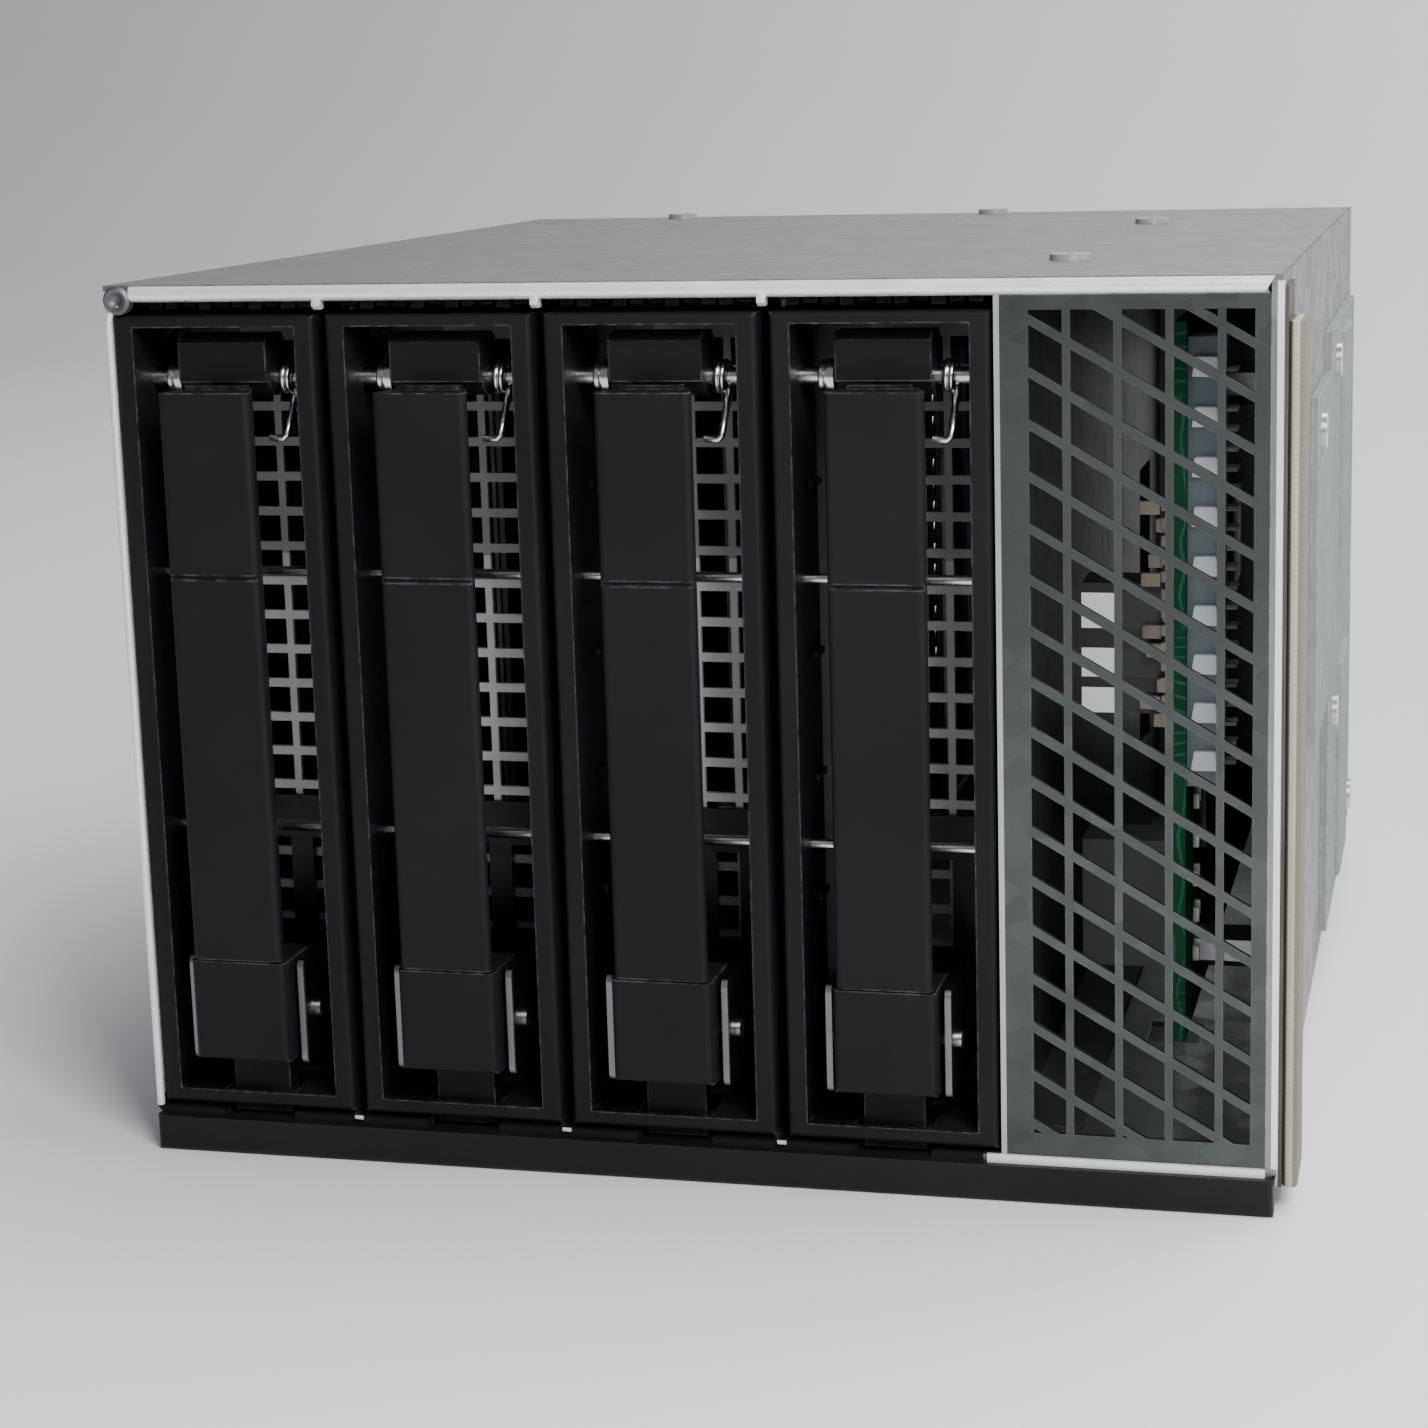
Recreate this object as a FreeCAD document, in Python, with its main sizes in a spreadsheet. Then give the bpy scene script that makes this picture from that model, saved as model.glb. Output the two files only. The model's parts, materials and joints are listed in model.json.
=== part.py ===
import FreeCAD
import Part
import math
import os
import re

import Sketcher

# Four-bay hot swap drive cage for upright 3.5 inch drives, in millimetres.
# X runs across the front, Y from the carriers' front plane into the cage, Z up.
# The origin is on the ground plane, under the front plane, in the middle of the cage's width.

BAYS = 4

SIZES = [
    # drive that a bay takes
    ("drive_width", 101.6, "drive width, upright in the bay"),
    ("drive_thickness", 26.1, "drive thickness, across the bay"),
    ("drive_length", 147.0, "drive length, into the bay"),
    # sheet and board thicknesses
    ("pan_sheet", 0.8, "base pan sheet"),
    ("cover_sheet", 0.8, "top cover sheet"),
    ("rear_sheet", 0.8, "rear panel sheet"),
    ("divider_sheet", 0.6, "bay divider sheet"),
    ("partition_sheet", 0.8, "compartment partition sheet"),
    ("vent_sheet", 0.8, "vent panel sheet"),
    ("tray_sheet", 0.8, "carrier tray sheet"),
    ("screen_sheet", 0.8, "carrier screen sheet"),
    ("hinge_sheet", 0.8, "hinge bracket sheet"),
    ("mount_sheet", 1.0, "side bracket sheet"),
    ("board_sheet", 1.6, "circuit board thickness"),
    # layout across the cage
    ("drive_side_gap", 0.1, "drive to tray, each side"),
    ("frame_overhang", 0.2, "bezel past the tray, each side"),
    ("frame_gap", 1.6, "gap between neighbouring bezels"),
    ("side_gap", 0.3, "first bezel to the left wall"),
    ("partition_gap", 0.4, "last bezel to the partition"),
    ("compartment_width", 33.1, "partition to the right wall"),
    # layout upwards
    ("ground_gap", 4.9, "ground to the underside of the floor"),
    ("frame_lift", 0.8, "floor to the underside of a bezel"),
    ("frame_lap", 0.4, "bezel past the tray, top and bottom"),
    ("drive_edge_gap", 1.25, "drive to tray flange"),
    ("top_gap", 3.2, "bezel to the underside of the cover"),
    # layout into the cage
    ("screen_setback", 20.5, "front plane to the screen"),
    ("drive_front_gap", 1.2, "screen to the drive"),
    ("drive_rear_gap", 5.0, "drive to the backplane"),
    ("standoff_length", 8.1, "backplane to the rear panel"),
    # base pan
    ("pan_bend", 1.2, "outer radius of the floor's long bends"),
    ("hem_width", 1.5, "folded front edge of the right wall"),
    ("hem_depth", 5.0, "depth of that folded edge"),
    ("cam_notch_depth", 10.0, "floor notch for a lever's nose"),
    ("hook_width", 7.5, "chassis hook width"),
    ("hook_length", 9.0, "chassis hook reach"),
    ("hook_foot", 1.5, "thickness of a hook's foot"),
    ("hook_inset", 18.0, "side wall to the hook's side"),
    ("front_hook_depth", 48.0, "front plane to the front hooks"),
    ("hook_spacing", 96.0, "front hooks to rear hooks"),
    ("lip_stud_radius", 1.5, "stud that pins the lip to the floor"),
    ("lip_stud_depth", 9.0, "front plane to the lip's studs"),
    # top cover
    ("band_height", 2.2, "folded front band, height"),
    ("band_depth", 3.0, "folded front band, depth"),
    ("band_inset", 2.8, "band's ends in from the sides"),
    ("band_mitre", 1.1, "slant of the band's ends"),
    ("cover_flange", 2.4, "side flange below the cover"),
    # front lip
    ("lip_thickness", 3.0, "front strip of the lip"),
    ("lip_reach", 14.0, "flange of the lip under the floor"),
    ("lip_flange", 1.2, "thickness of that flange"),
    ("lip_end_gap", 0.4, "lip's ends in from the side walls"),
    ("lip_rounding", 0.8, "rounded bottom edges of the lip"),
    # dividers and partition
    ("divider_setback", 12.0, "front plane to a divider"),
    ("divider_rear_gap", 1.0, "divider to the backplane"),
    ("divider_tab_length", 12.0, "divider tab through floor and cover"),
    ("divider_tab_depth", 20.0, "divider's front edge to its first tab"),
    ("divider_tab_spacing", 110.0, "first tab to second tab"),
    ("tab_play", 0.1, "play round a tab in its slot"),
    ("divider_slot_width", 14.0, "lightening slot width"),
    ("divider_slot_height", 82.0, "lightening slot height"),
    ("divider_slot_spacing", 27.0, "lightening slot spacing"),
    ("catch_tab_height", 2.6, "bright tab at a divider's top front corner"),
    ("catch_tab_reach", 3.5, "reach of that tab"),
    ("partition_flange", 8.0, "partition's flanges"),
    ("cable_window_width", 16.0, "partition's rear window, along the cage"),
    ("cable_window_height", 50.0, "partition's rear window, upwards"),
    # runners
    ("runner_width", 18.0, "runner strip width"),
    ("runner_front", 18.0, "front plane to the runners"),
    ("runner_length", 145.0, "runner length"),
    ("runner_play", 0.3, "tray to runner"),
    ("runner_rib", 1.4, "rib of an upper runner"),
    ("runner_web", 1.0, "web of an upper runner"),
    # vent panel
    ("cell_pitch_across", 6.2, "vent cell columns"),
    ("cell_pitch_up", 6.35, "vent cell rows"),
    ("cell_drop", 3.6, "drop from one column to the next"),
    ("cell_first", 4.1, "narrower first cell, across"),
    ("cell_post", 1.0, "upright bar between cells"),
    ("cell_rung", 1.3, "slanted bar between cells"),
    ("vent_border_left", 4.2, "plain border, left"),
    ("vent_border_right", 1.9, "plain border, right"),
    ("vent_border_top", 1.8, "plain border, top"),
    ("vent_border_bottom", 3.3, "plain border, bottom"),
    ("vent_flange", 9.0, "flange along the partition"),
    ("sill_height", 1.1, "bright sill below the vent, height"),
    ("sill_thickness", 0.6, "bright sill, thickness"),
    ("sill_overlap", 1.8, "sill past the partition"),
    # gasket
    ("tape_thickness", 0.5, "gasket tape thickness"),
    ("gasket_thickness", 1.9, "gasket thickness on its tape"),
    ("gasket_depth", 11.5, "gasket, along the cage"),
    ("gasket_setback", 0.5, "front plane to the gasket"),
    ("gasket_margin", 1.4, "gasket ends in from the ground gap and the cover"),
    ("gasket_rounding", 0.8, "rounded outer edges of the gasket"),
    # side bracket
    ("bracket_front", 62.0, "front plane to the side bracket"),
    ("bracket_neck_length", 38.0, "front part of the bracket"),
    ("bracket_body_length", 78.0, "rear part of the bracket"),
    ("bracket_bottom", 8.0, "ground to the bracket's rear part"),
    ("bracket_height", 94.0, "height of the bracket's rear part"),
    ("neck_bottom", 46.0, "ground to the bracket's front part"),
    ("neck_height", 50.0, "height of the bracket's front part"),
    ("pad_rise", 0.9, "raised pads on the bracket"),
    ("pad_margin", 2.0, "pad edge to bracket edge"),
    ("pad_length", 24.0, "length of a raised pad"),
    ("pad_gap", 18.0, "gap between the upper and lower pads"),
    ("chassis_hole_radius", 1.8, "chassis screw holes"),
    ("chassis_hole_front", 74.0, "front plane to the first chassis holes"),
    ("chassis_hole_run", 90.0, "chassis holes, along the cage"),
    ("chassis_hole_bottom", 54.0, "ground to the lower chassis holes"),
    ("chassis_hole_rise", 32.0, "chassis holes, upwards"),
    # rear panel
    ("rear_window_width", 17.6, "connector window, across"),
    ("rear_window_height", 84.0, "connector window, upwards"),
    ("rear_window_bottom", 18.0, "ground to the connector windows"),
    ("rear_flange", 7.4, "rear panel's flanges"),
    ("louvre_width", 4.4, "exhaust slots behind the compartment"),
    ("louvre_height", 70.0, "exhaust slots, height"),
    ("louvre_spacing", 6.4, "exhaust slots, spacing"),
    ("louvre_bottom", 24.0, "ground to the exhaust slots"),
    # backplane
    ("board_edge_gap", 0.5, "backplane to the side wall and partition"),
    ("board_bottom_gap", 1.3, "backplane to the floor"),
    ("board_top_gap", 4.2, "backplane to the cover"),
    ("board_slot_width", 8.0, "airflow slot in the backplane"),
    ("board_slot_height", 52.0, "airflow slot height"),
    ("board_slot_offset", 7.5, "bay centre to the airflow slot's centre"),
    ("board_slot_bottom", 34.0, "ground to the airflow slots"),
    ("socket_offset", 8.0, "bay centre to the drive socket's centre"),
    ("socket_width", 6.2, "drive socket, across"),
    ("socket_height", 44.0, "drive socket, upwards"),
    ("socket_reach", 8.6, "drive socket, out of the board"),
    ("socket_bottom", 20.0, "ground to the drive sockets"),
    ("socket_slot_width", 2.4, "slot in a drive socket"),
    ("socket_slot_depth", 6.0, "depth of that slot"),
    ("socket_wall", 2.0, "socket end walls"),
    ("data_width", 6.4, "data connector, across"),
    ("data_height", 17.0, "data connector, upwards"),
    ("data_reach", 9.4, "data connector, out of the board"),
    ("data_bottom", 78.0, "ground to the data connectors"),
    ("data_slot_width", 2.4, "slot in a data connector"),
    ("data_slot_depth", 7.0, "depth of that slot"),
    ("data_wall", 2.2, "data connector end walls"),
    ("power_width", 8.6, "power connector, across"),
    ("power_height", 21.5, "power connector, upwards"),
    ("power_reach", 12.0, "power connector, out of the board"),
    ("power_bottom", 24.0, "ground to the power connectors"),
    ("power_wall", 1.0, "power connector wall"),
    ("power_floor", 2.0, "power connector base"),
    ("power_pin_radius", 0.9, "power connector pin"),
    ("power_pin_length", 3.4, "power connector pin length"),
    ("power_pin_pitch", 5.08, "power connector pin spacing"),
    ("capacitor_radius", 2.6, "capacitor"),
    ("capacitor_height", 6.6, "capacitor height"),
    ("capacitor_bottom", 66.0, "ground to the capacitors' centres"),
    ("chip_side", 7.0, "chip side"),
    ("chip_height", 1.2, "chip height"),
    ("chip_bottom", 52.0, "ground to the chips"),
    # side board behind the vent
    ("side_standoff", 12.4, "side board to the right wall"),
    ("side_board_setback", 18.0, "front plane to the side board"),
    ("side_board_length", 132.0, "side board, along the cage"),
    ("side_board_bottom", 16.0, "ground to the side board"),
    ("side_board_height", 94.0, "side board, upwards"),
    ("side_screw_inset", 9.0, "side board edge to its screws"),
    ("header_thickness", 4.6, "long header, out of the board"),
    ("header_depth", 6.0, "long header, along the cage"),
    ("header_height", 58.0, "long header, upwards"),
    ("header_top_gap", 2.0, "board's top to the long header"),
    ("header_setback", 2.0, "board's front edge to the headers"),
    ("plug_reach", 12.0, "power header, out of the board"),
    ("plug_depth", 8.4, "power header, along the cage"),
    ("plug_height", 17.0, "power header, upwards"),
    ("plug_bottom", 59.5, "ground to the power header"),
    ("plug_wall", 1.0, "power header wall"),
    ("plug_cavity", 7.0, "depth of the power header's mouth"),
    # screws and standoffs
    ("screw_radius", 1.5, "screw shank"),
    ("screw_hole_play", 0.1, "hole round a screw shank"),
    ("screw_length", 4.0, "screw shank length"),
    ("head_radius", 2.7, "screw head"),
    ("head_height", 0.8, "screw head height"),
    ("recess_width", 0.7, "cross recess bar"),
    ("recess_length", 2.8, "cross recess length"),
    ("recess_depth", 0.5, "cross recess depth"),
    ("standoff_radius", 2.9, "hexagonal standoff, across corners"),
    ("board_screw_rise", 5.5, "backplane edge to its screws, upwards"),
    ("board_screw_offset", 9.0, "bay centre to the backplane screws"),
    ("cover_screw_inset", 4.0, "cover screws in from the partition and the rear"),
    ("cover_screw_front", 34.0, "front plane to the first cover screw"),
    ("cover_screw_spacing", 100.0, "first to second cover screw"),
    # carrier bezel
    ("frame_depth", 14.0, "bezel depth"),
    ("frame_side", 2.6, "bezel side bars"),
    ("frame_sill", 2.0, "bezel bottom bar"),
    ("frame_head", 1.5, "bezel top bar"),
    ("frame_rounding", 0.7, "rounded outer front edges of the bezel"),
    ("lug_width", 18.0, "bezel lug in the tray"),
    ("lug_length", 6.0, "length of that lug"),
    ("lug_thickness", 1.2, "thickness of that lug"),
    ("rod_seat", 1.5, "depth of a rod's seat in a side bar"),
    # tray
    ("tray_length", 152.0, "tray behind the bezel"),
    ("tray_slot_width", 13.0, "slot in the tray's side sheet"),
    ("tray_slot_height", 74.0, "slot height"),
    ("tray_slot_spacing", 24.0, "slot spacing"),
    ("tray_slot_front", 14.0, "tray's front edge to its first slot"),
    ("drive_screw_radius", 1.9, "drive screw holes"),
    ("drive_screw_front", 16.9, "drive's front to its first screw"),
    ("drive_screw_spacing", 101.6, "first to second drive screw"),
    ("drive_screw_rise", 6.35, "drive's bottom face to its screws"),
    # screen
    ("screen_hole_width", 4.1, "screen hole, across"),
    ("screen_hole_height", 3.6, "screen hole, upwards"),
    ("screen_column_pitch", 5.1, "screen columns"),
    ("screen_row_pitch", 4.8, "screen rows"),
    ("screen_shift", 0.3, "screen's hole pattern to the left of the middle"),
    ("screen_first_row", 0.9, "screen's bottom to its first holes"),
    ("screen_flange", 6.0, "screen's folded flanges"),
    ("screen_edge_gap", 0.7, "screen to the open side of the tray"),
    # hinge bracket
    ("cheek_gap", 0.7, "lever foot to cheek"),
    ("cheek_proud", 1.5, "cheeks in front of the front plane"),
    ("cheek_drop", 1.0, "cheeks below the foot"),
    ("cheek_height", 14.5, "cheek height"),
    ("cheek_rounding", 1.2, "rounded front corners of the cheeks"),
    ("web_drop", 2.3, "bracket web below the foot"),
    ("web_height", 33.0, "bracket web height"),
    ("web_slot_width", 3.2, "slot in the bracket web"),
    ("web_slot_height", 12.0, "slot height in the bracket web"),
    # pins and rods
    ("hinge_pin_radius", 1.25, "hinge pin"),
    ("hinge_pin_overhang", 0.7, "hinge pin past the cheeks"),
    ("latch_pin_radius", 1.1, "latch pin"),
    ("rod_radius", 0.7, "cross rods"),
    ("rod_depth", 6.0, "front plane to the cross rods and latch pin"),
    ("lower_rod_rise", 35.8, "bezel opening's bottom to the lower rod"),
    ("upper_rod_drop", 32.6, "bezel opening's top to the upper rod"),
    ("pin_play", 0.05, "running clearance round a pin"),
    ("clip_radius", 2.1, "retaining clip on the latch pin"),
    ("clip_thickness", 0.8, "retaining clip thickness"),
    ("clip_gap", 0.5, "latch to retaining clip and spring"),
    # latch spring
    ("spring_wire", 0.8, "spring wire diameter"),
    ("coil_radius", 2.1, "coil outer radius"),
    ("coil_length", 2.4, "coil length"),
    ("coil_play", 0.15, "coil bore round the latch pin"),
    ("leg_length", 7.0, "spring leg, downwards"),
    ("leg_lean", 1.6, "spring leg's lean towards the lever"),
    ("hook_arm", 2.6, "hook at the end of the spring leg"),
    # lever
    ("lever_width", 13.2, "lever width at its face"),
    ("lever_back_width", 8.8, "lever width at its open back"),
    ("lever_proud", 4.4, "lever in front of the front plane"),
    ("lever_back", 1.5, "lever behind the front plane"),
    ("lever_wall", 1.6, "lever front wall"),
    ("lever_side_wall", 1.4, "lever side walls"),
    ("lever_rounding", 0.9, "rounded long edges of the lever"),
    ("groove_drop", 24.2, "lever's top to its groove"),
    ("groove_width", 0.6, "lever groove width"),
    ("groove_depth", 0.4, "lever groove depth"),
    ("tongue_width", 8.0, "tongue on the lever's top"),
    ("tongue_height", 0.5, "height of that tongue"),
    # lever foot
    ("foot_gap", 5.8, "bezel opening's bottom to the foot"),
    ("foot_height", 13.7, "foot height"),
    ("foot_back", 7.8, "foot behind the front plane"),
    ("foot_bevel", 2.6, "bevels at the foot's back"),
    ("foot_seam", 0.2, "seam between foot and lever"),
    ("foot_tongue_length", 17.0, "foot's tongue inside the lever"),
    ("foot_tongue_play", 0.1, "that tongue's clearance in the lever"),
    ("foot_rounding", 0.9, "rounded front edges of the foot"),
    ("pivot_depth", 3.0, "front plane to the hinge pin"),
    ("pivot_rise", 5.7, "foot's bottom to the hinge pin"),
    ("nose_width", 8.0, "cam nose width"),
    ("nose_thickness", 2.4, "cam nose thickness"),
    ("nose_setback", 1.8, "front plane to the cam nose"),
    ("nose_lift", 0.4, "cam nose above the lip"),
    ("nose_play", 1.0, "slot past the nose, each side"),
    # latch
    ("latch_width", 12.1, "latch width"),
    ("latch_height", 6.1, "latch height"),
    ("latch_gap", 0.7, "lever to latch"),
    ("latch_top_gap", 1.2, "latch to the bezel opening's top"),
    ("latch_setback", 2.5, "front plane to the latch's face"),
    ("latch_back", 9.0, "front plane to the latch's back"),
    ("latch_pin_rise", 0.4, "latch's bottom to the latch pin"),
    ("latch_boss", 2.4, "latch boss radius round its pin"),
    ("latch_bevel", 1.0, "latch's bevelled edges"),
]

# Lengths that follow from the sizes, each as a formula of sizes and other derived lengths.
DERIVED = {
    # across
    "tray_width": "drive_thickness + 2 * drive_side_gap + tray_sheet",
    "frame_width": "tray_width + 2 * frame_overhang",
    "bay_pitch": "frame_width + frame_gap",
    "bays_width": f"{BAYS - 1} * bay_pitch + frame_width",
    "cage_width": "2 * pan_sheet + side_gap + bays_width + partition_gap + partition_sheet + compartment_width",
    "half_width": "cage_width / 2",
    "inner_left": "pan_sheet - half_width",
    "inner_right": "half_width - pan_sheet",
    "first_bay": "inner_left + side_gap + frame_width / 2",
    "first_gap": "first_bay + bay_pitch / 2",
    "partition_left": "inner_left + side_gap + bays_width + partition_gap",
    "partition_right": "partition_left + partition_sheet",
    "side_board_right": "inner_right - side_standoff",
    "side_board_left": "side_board_right - board_sheet",
    "bracket_face": "half_width + mount_sheet",
    # up
    "floor_top": "ground_gap + pan_sheet",
    "frame_bottom": "floor_top + frame_lift",
    "tray_bottom": "frame_bottom + frame_lap",
    "tray_floor": "tray_bottom + tray_sheet",
    "drive_bottom": "tray_floor + drive_edge_gap",
    "drive_top": "drive_bottom + drive_width",
    "tray_ceiling": "drive_top + drive_edge_gap",
    "tray_top": "tray_ceiling + tray_sheet",
    "frame_top": "tray_top + frame_lap",
    "cover_under": "frame_top + top_gap",
    "cage_height": "cover_under + cover_sheet",
    "band_bottom": "cage_height - band_height",
    "board_bottom": "floor_top + board_bottom_gap",
    "board_top": "cover_under - board_top_gap",
    "side_board_top": "side_board_bottom + side_board_height",
    "header_top": "side_board_top - header_top_gap",
    # into the cage
    "screen_rear": "screen_setback + screen_sheet",
    "drive_front": "screen_rear + drive_front_gap",
    "drive_rear": "drive_front + drive_length",
    "board_front": "drive_rear + drive_rear_gap",
    "board_rear": "board_front + board_sheet",
    "rear_inner": "board_rear + standoff_length",
    "cage_depth": "rear_inner + rear_sheet",
    "divider_rear": "board_front - divider_rear_gap",
    "bracket_body_front": "bracket_front + bracket_neck_length",
    # carrier, from its own centre plane
    "opening_half": "frame_width / 2 - frame_side",
    "opening_bottom": "frame_bottom + frame_sill",
    "opening_top": "frame_top - frame_head",
    "tray_half": "tray_width / 2",
    "tray_inner": "tray_sheet - tray_half",
    "foot_bottom": "opening_bottom + foot_gap",
    "foot_top": "foot_bottom + foot_height",
    "lever_bottom": "foot_top + foot_seam",
    "latch_top": "opening_top - latch_top_gap",
    "latch_bottom": "latch_top - latch_height",
    "lever_top": "latch_bottom - latch_gap",
    "pivot_height": "foot_bottom + pivot_rise",
    "latch_pin_height": "latch_bottom + latch_pin_rise",
    "cheek_inner": "lever_width / 2 + cheek_gap",
    "cheek_outer": "cheek_inner + hinge_sheet",
    "rod_half": "opening_half + rod_seat",
    "nose_tip": "ground_gap + nose_lift",
    "nose_slot": "nose_width + 2 * nose_play",
    "screw_hole": "screw_radius + screw_hole_play",
}

SIZE_NAMES = {name for name, _, _ in SIZES}
WORD = re.compile(r"[a-z]+(?:_[a-z]+)*")

document = FreeCAD.newDocument("drive_cage")


def formula(text):
    """FreeCAD expression for a formula that names sizes and derived lengths."""

    def expand(match):
        word = match.group(0)
        if word in DERIVED:
            return "(" + formula(DERIVED[word]) + ")"
        if word in SIZE_NAMES:
            return "Sizes." + word
        raise ValueError("no size is called " + word)

    return WORD.sub(expand, str(text))


def fill_sheet():
    """Put every driving size in the spreadsheet, as a plain number with a word alias."""
    sheet = document.addObject("Spreadsheet::Sheet", "Sizes")
    for row, (name, value, meaning) in enumerate(SIZES, start=1):
        sheet.set(f"A{row}", name)
        sheet.set(f"B{row}", str(value))
        sheet.set(f"C{row}", meaning)
        sheet.setAlias(f"B{row}", name)
    document.recompute()


# Directions along which a plane's sketches are pushed: the sketch normal of XZ points to -Y.
NORMAL_SIGN = {"XY_Plane": 1, "XZ_Plane": -1, "YZ_Plane": 1}


def origin_feature(body, role):
    """The body's own origin plane or axis that has this role."""
    return next(item for item in body.Origin.OriginFeatures if item.Role == role)


def new_body(label, several=False):
    """An empty PartDesign body; several=True lets it hold separate identical solids."""
    body = document.addObject("PartDesign::Body", label)
    body.Label = label
    body.AllowCompound = several
    return body


def place(item, x=None, y=None, z=None):
    """Bind an object's position to formulas."""
    for axis, text in (("x", x), ("y", y), ("z", z)):
        if text is not None:
            item.setExpression("Placement.Base." + axis, formula(text))


def rectangle(left, bottom, right, top):
    """Corner points of a rectangle given by its sides."""
    return [(left, bottom), (right, bottom), (right, top), (left, top)]


def centred(middle, bottom, width, top):
    """Corner points of a rectangle centred across, from bottom to top."""
    half = f"({width}) / 2"
    return rectangle(f"{middle} - {half}", bottom, f"{middle} + {half}", top)


def tapered(front, front_half, back, back_half):
    """Corner points of a section round the middle, with its own half width at the front and at the back."""
    return [
        (f"-({front_half})", front),
        (front_half, front),
        (back_half, back),
        (f"-({back_half})", back),
    ]


def circle(across, up, radius):
    """A circle for a sketch, as one labelled outline."""
    return ("circle", across, up, radius)


def bind_point(sketch, geometry, vertex, across, up):
    """Fix one sketch point by two distances from the sketch's origin."""
    for kind, text in (("DistanceX", across), ("DistanceY", up)):
        constraint = Sketcher.Constraint(kind, -1, 1, geometry, vertex, 1.0)
        index = sketch.addConstraint(constraint)
        sketch.setExpression(f"Constraints[{index}]", formula(text))


def draw_polygon(sketch, points):
    """Closed outline through the points, each point bound to its formulas."""
    first = sketch.GeometryCount
    count = len(points)
    ring = [
        FreeCAD.Vector(math.cos(2 * math.pi * turn / count), math.sin(2 * math.pi * turn / count), 0)
        for turn in range(count)
    ]
    lines = [Part.LineSegment(ring[turn], ring[(turn + 1) % count]) for turn in range(count)]
    sketch.addGeometry(lines, False)
    for turn in range(count):
        following = first + (turn + 1) % count
        sketch.addConstraint(Sketcher.Constraint("Coincident", first + turn, 2, following, 1))
    for turn, (across, up) in enumerate(points):
        bind_point(sketch, first + turn, 1, across, up)


def draw_circle(sketch, across, up, radius):
    """Circle with its centre and radius bound to formulas."""
    index = sketch.GeometryCount
    sketch.addGeometry(Part.Circle(FreeCAD.Vector(0, 0, 0), FreeCAD.Vector(0, 0, 1), 1), False)
    bind_point(sketch, index, 3, across, up)
    constraint = sketch.addConstraint(Sketcher.Constraint("Radius", index, 1.0))
    sketch.setExpression(f"Constraints[{constraint}]", formula(radius))


def add_sketch(body, plane, start, outlines):
    """Sketch on one of the body's origin planes, moved to start along the plane's axis."""
    sketch = body.newObject("Sketcher::SketchObject", body.Label + "_sketch")
    sketch.AttachmentSupport = [(origin_feature(body, plane), "")]
    sketch.MapMode = "FlatFace"
    sign = "" if NORMAL_SIGN[plane] > 0 else "-"
    sketch.setExpression("AttachmentOffset.Base.z", f"{sign}({formula(start)})")
    for outline in outlines:
        if outline[0] == "circle":
            draw_circle(sketch, *outline[1:])
        else:
            draw_polygon(sketch, outline)
    return sketch


def solid_volume(body):
    """Volume of the body so far, 0 while it is empty."""
    return 0.0 if body.Shape.isNull() else body.Shape.Volume


def pad(body, plane, start, length, outlines):
    """Add material from start to start + length along the plane's positive axis."""
    before = solid_volume(body)
    feature = body.newObject("PartDesign::Pad", body.Label + "_pad")
    feature.Profile = add_sketch(body, plane, start, outlines)
    feature.setExpression("Length", formula(length))
    feature.Reversed = NORMAL_SIGN[plane] < 0
    body.Tip = feature
    document.recompute()
    if solid_volume(body) <= before:
        raise RuntimeError(body.Label + ": a pad adds nothing")
    return feature


def pocket(body, plane, start, length, outlines):
    """Remove material from start to start + length along the plane's positive axis."""
    before = solid_volume(body)
    feature = body.newObject("PartDesign::Pocket", body.Label + "_pocket")
    feature.Profile = add_sketch(body, plane, start, outlines)
    feature.setExpression("Length", formula(length))
    feature.Reversed = NORMAL_SIGN[plane] > 0
    body.Tip = feature
    document.recompute()
    if "Invalid" in feature.State or solid_volume(body) >= before:
        raise RuntimeError(f"{body.Label}: a pocket cuts nothing, {feature.State}")
    return feature


def linear(body, direction, spacing, count):
    """One direction of a pattern."""
    pattern = body.newObject("PartDesign::LinearPattern", body.Label + "_row")
    pattern.Direction = direction
    pattern.Mode = "Spacing"
    pattern.setExpression("Offset", formula(spacing))
    pattern.Occurrences = count
    return pattern


def row_of(body, feature, direction, spacing, count):
    """Repeat a feature along one direction."""
    pattern = linear(body, direction, spacing, count)
    pattern.Originals = [feature]
    body.Tip = pattern
    document.recompute()
    return pattern


def grid_of(body, feature, rows):
    """Repeat a feature in two directions, each given as direction, spacing and count."""
    grid = body.newObject("PartDesign::MultiTransform", body.Label + "_grid")
    grid.Originals = [feature]
    grid.Transformations = [linear(body, *row) for row in rows]
    body.Tip = grid
    document.recompute()
    return grid


def along(body, axis):
    """Pattern direction along one of the body's axes."""
    return (origin_feature(body, axis + "_Axis"), [""])


def edges_at(shape, **sides):
    """Names of the edges that lie on the given sides of the shape's box, such as y='min', x='max'."""
    found = []
    box = shape.BoundBox
    for number, edge in enumerate(shape.Edges, start=1):
        reach = edge.BoundBox
        on_sides = True
        for axis, side in sides.items():
            level = getattr(box, axis.upper() + side.capitalize())
            low = getattr(reach, axis.upper() + "Min")
            high = getattr(reach, axis.upper() + "Max")
            on_sides = on_sides and abs(low - level) < 1e-4 and abs(high - level) < 1e-4
        if on_sides:
            found.append(f"Edge{number}")
    return found


def dress(body, kind, size_name, size, *choices):
    """Fillet or chamfer the tip's edges that lie on each chosen pair of sides."""
    tip = body.Tip
    names = sorted({name for choice in choices for name in edges_at(tip.Shape, **choice)})
    feature = body.newObject(kind, body.Label + "_edges")
    feature.Base = (tip, names)
    feature.setExpression(size_name, formula(size))
    body.Tip = feature
    document.recompute()
    if not names or "Invalid" in feature.State:
        raise RuntimeError(body.Label + ": edges cannot be dressed")
    return feature


def fillet(body, radius, *choices):
    """Round the edges that lie on each chosen pair of sides of the body's box."""
    return dress(body, "PartDesign::Fillet", "Radius", radius, *choices)


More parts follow.
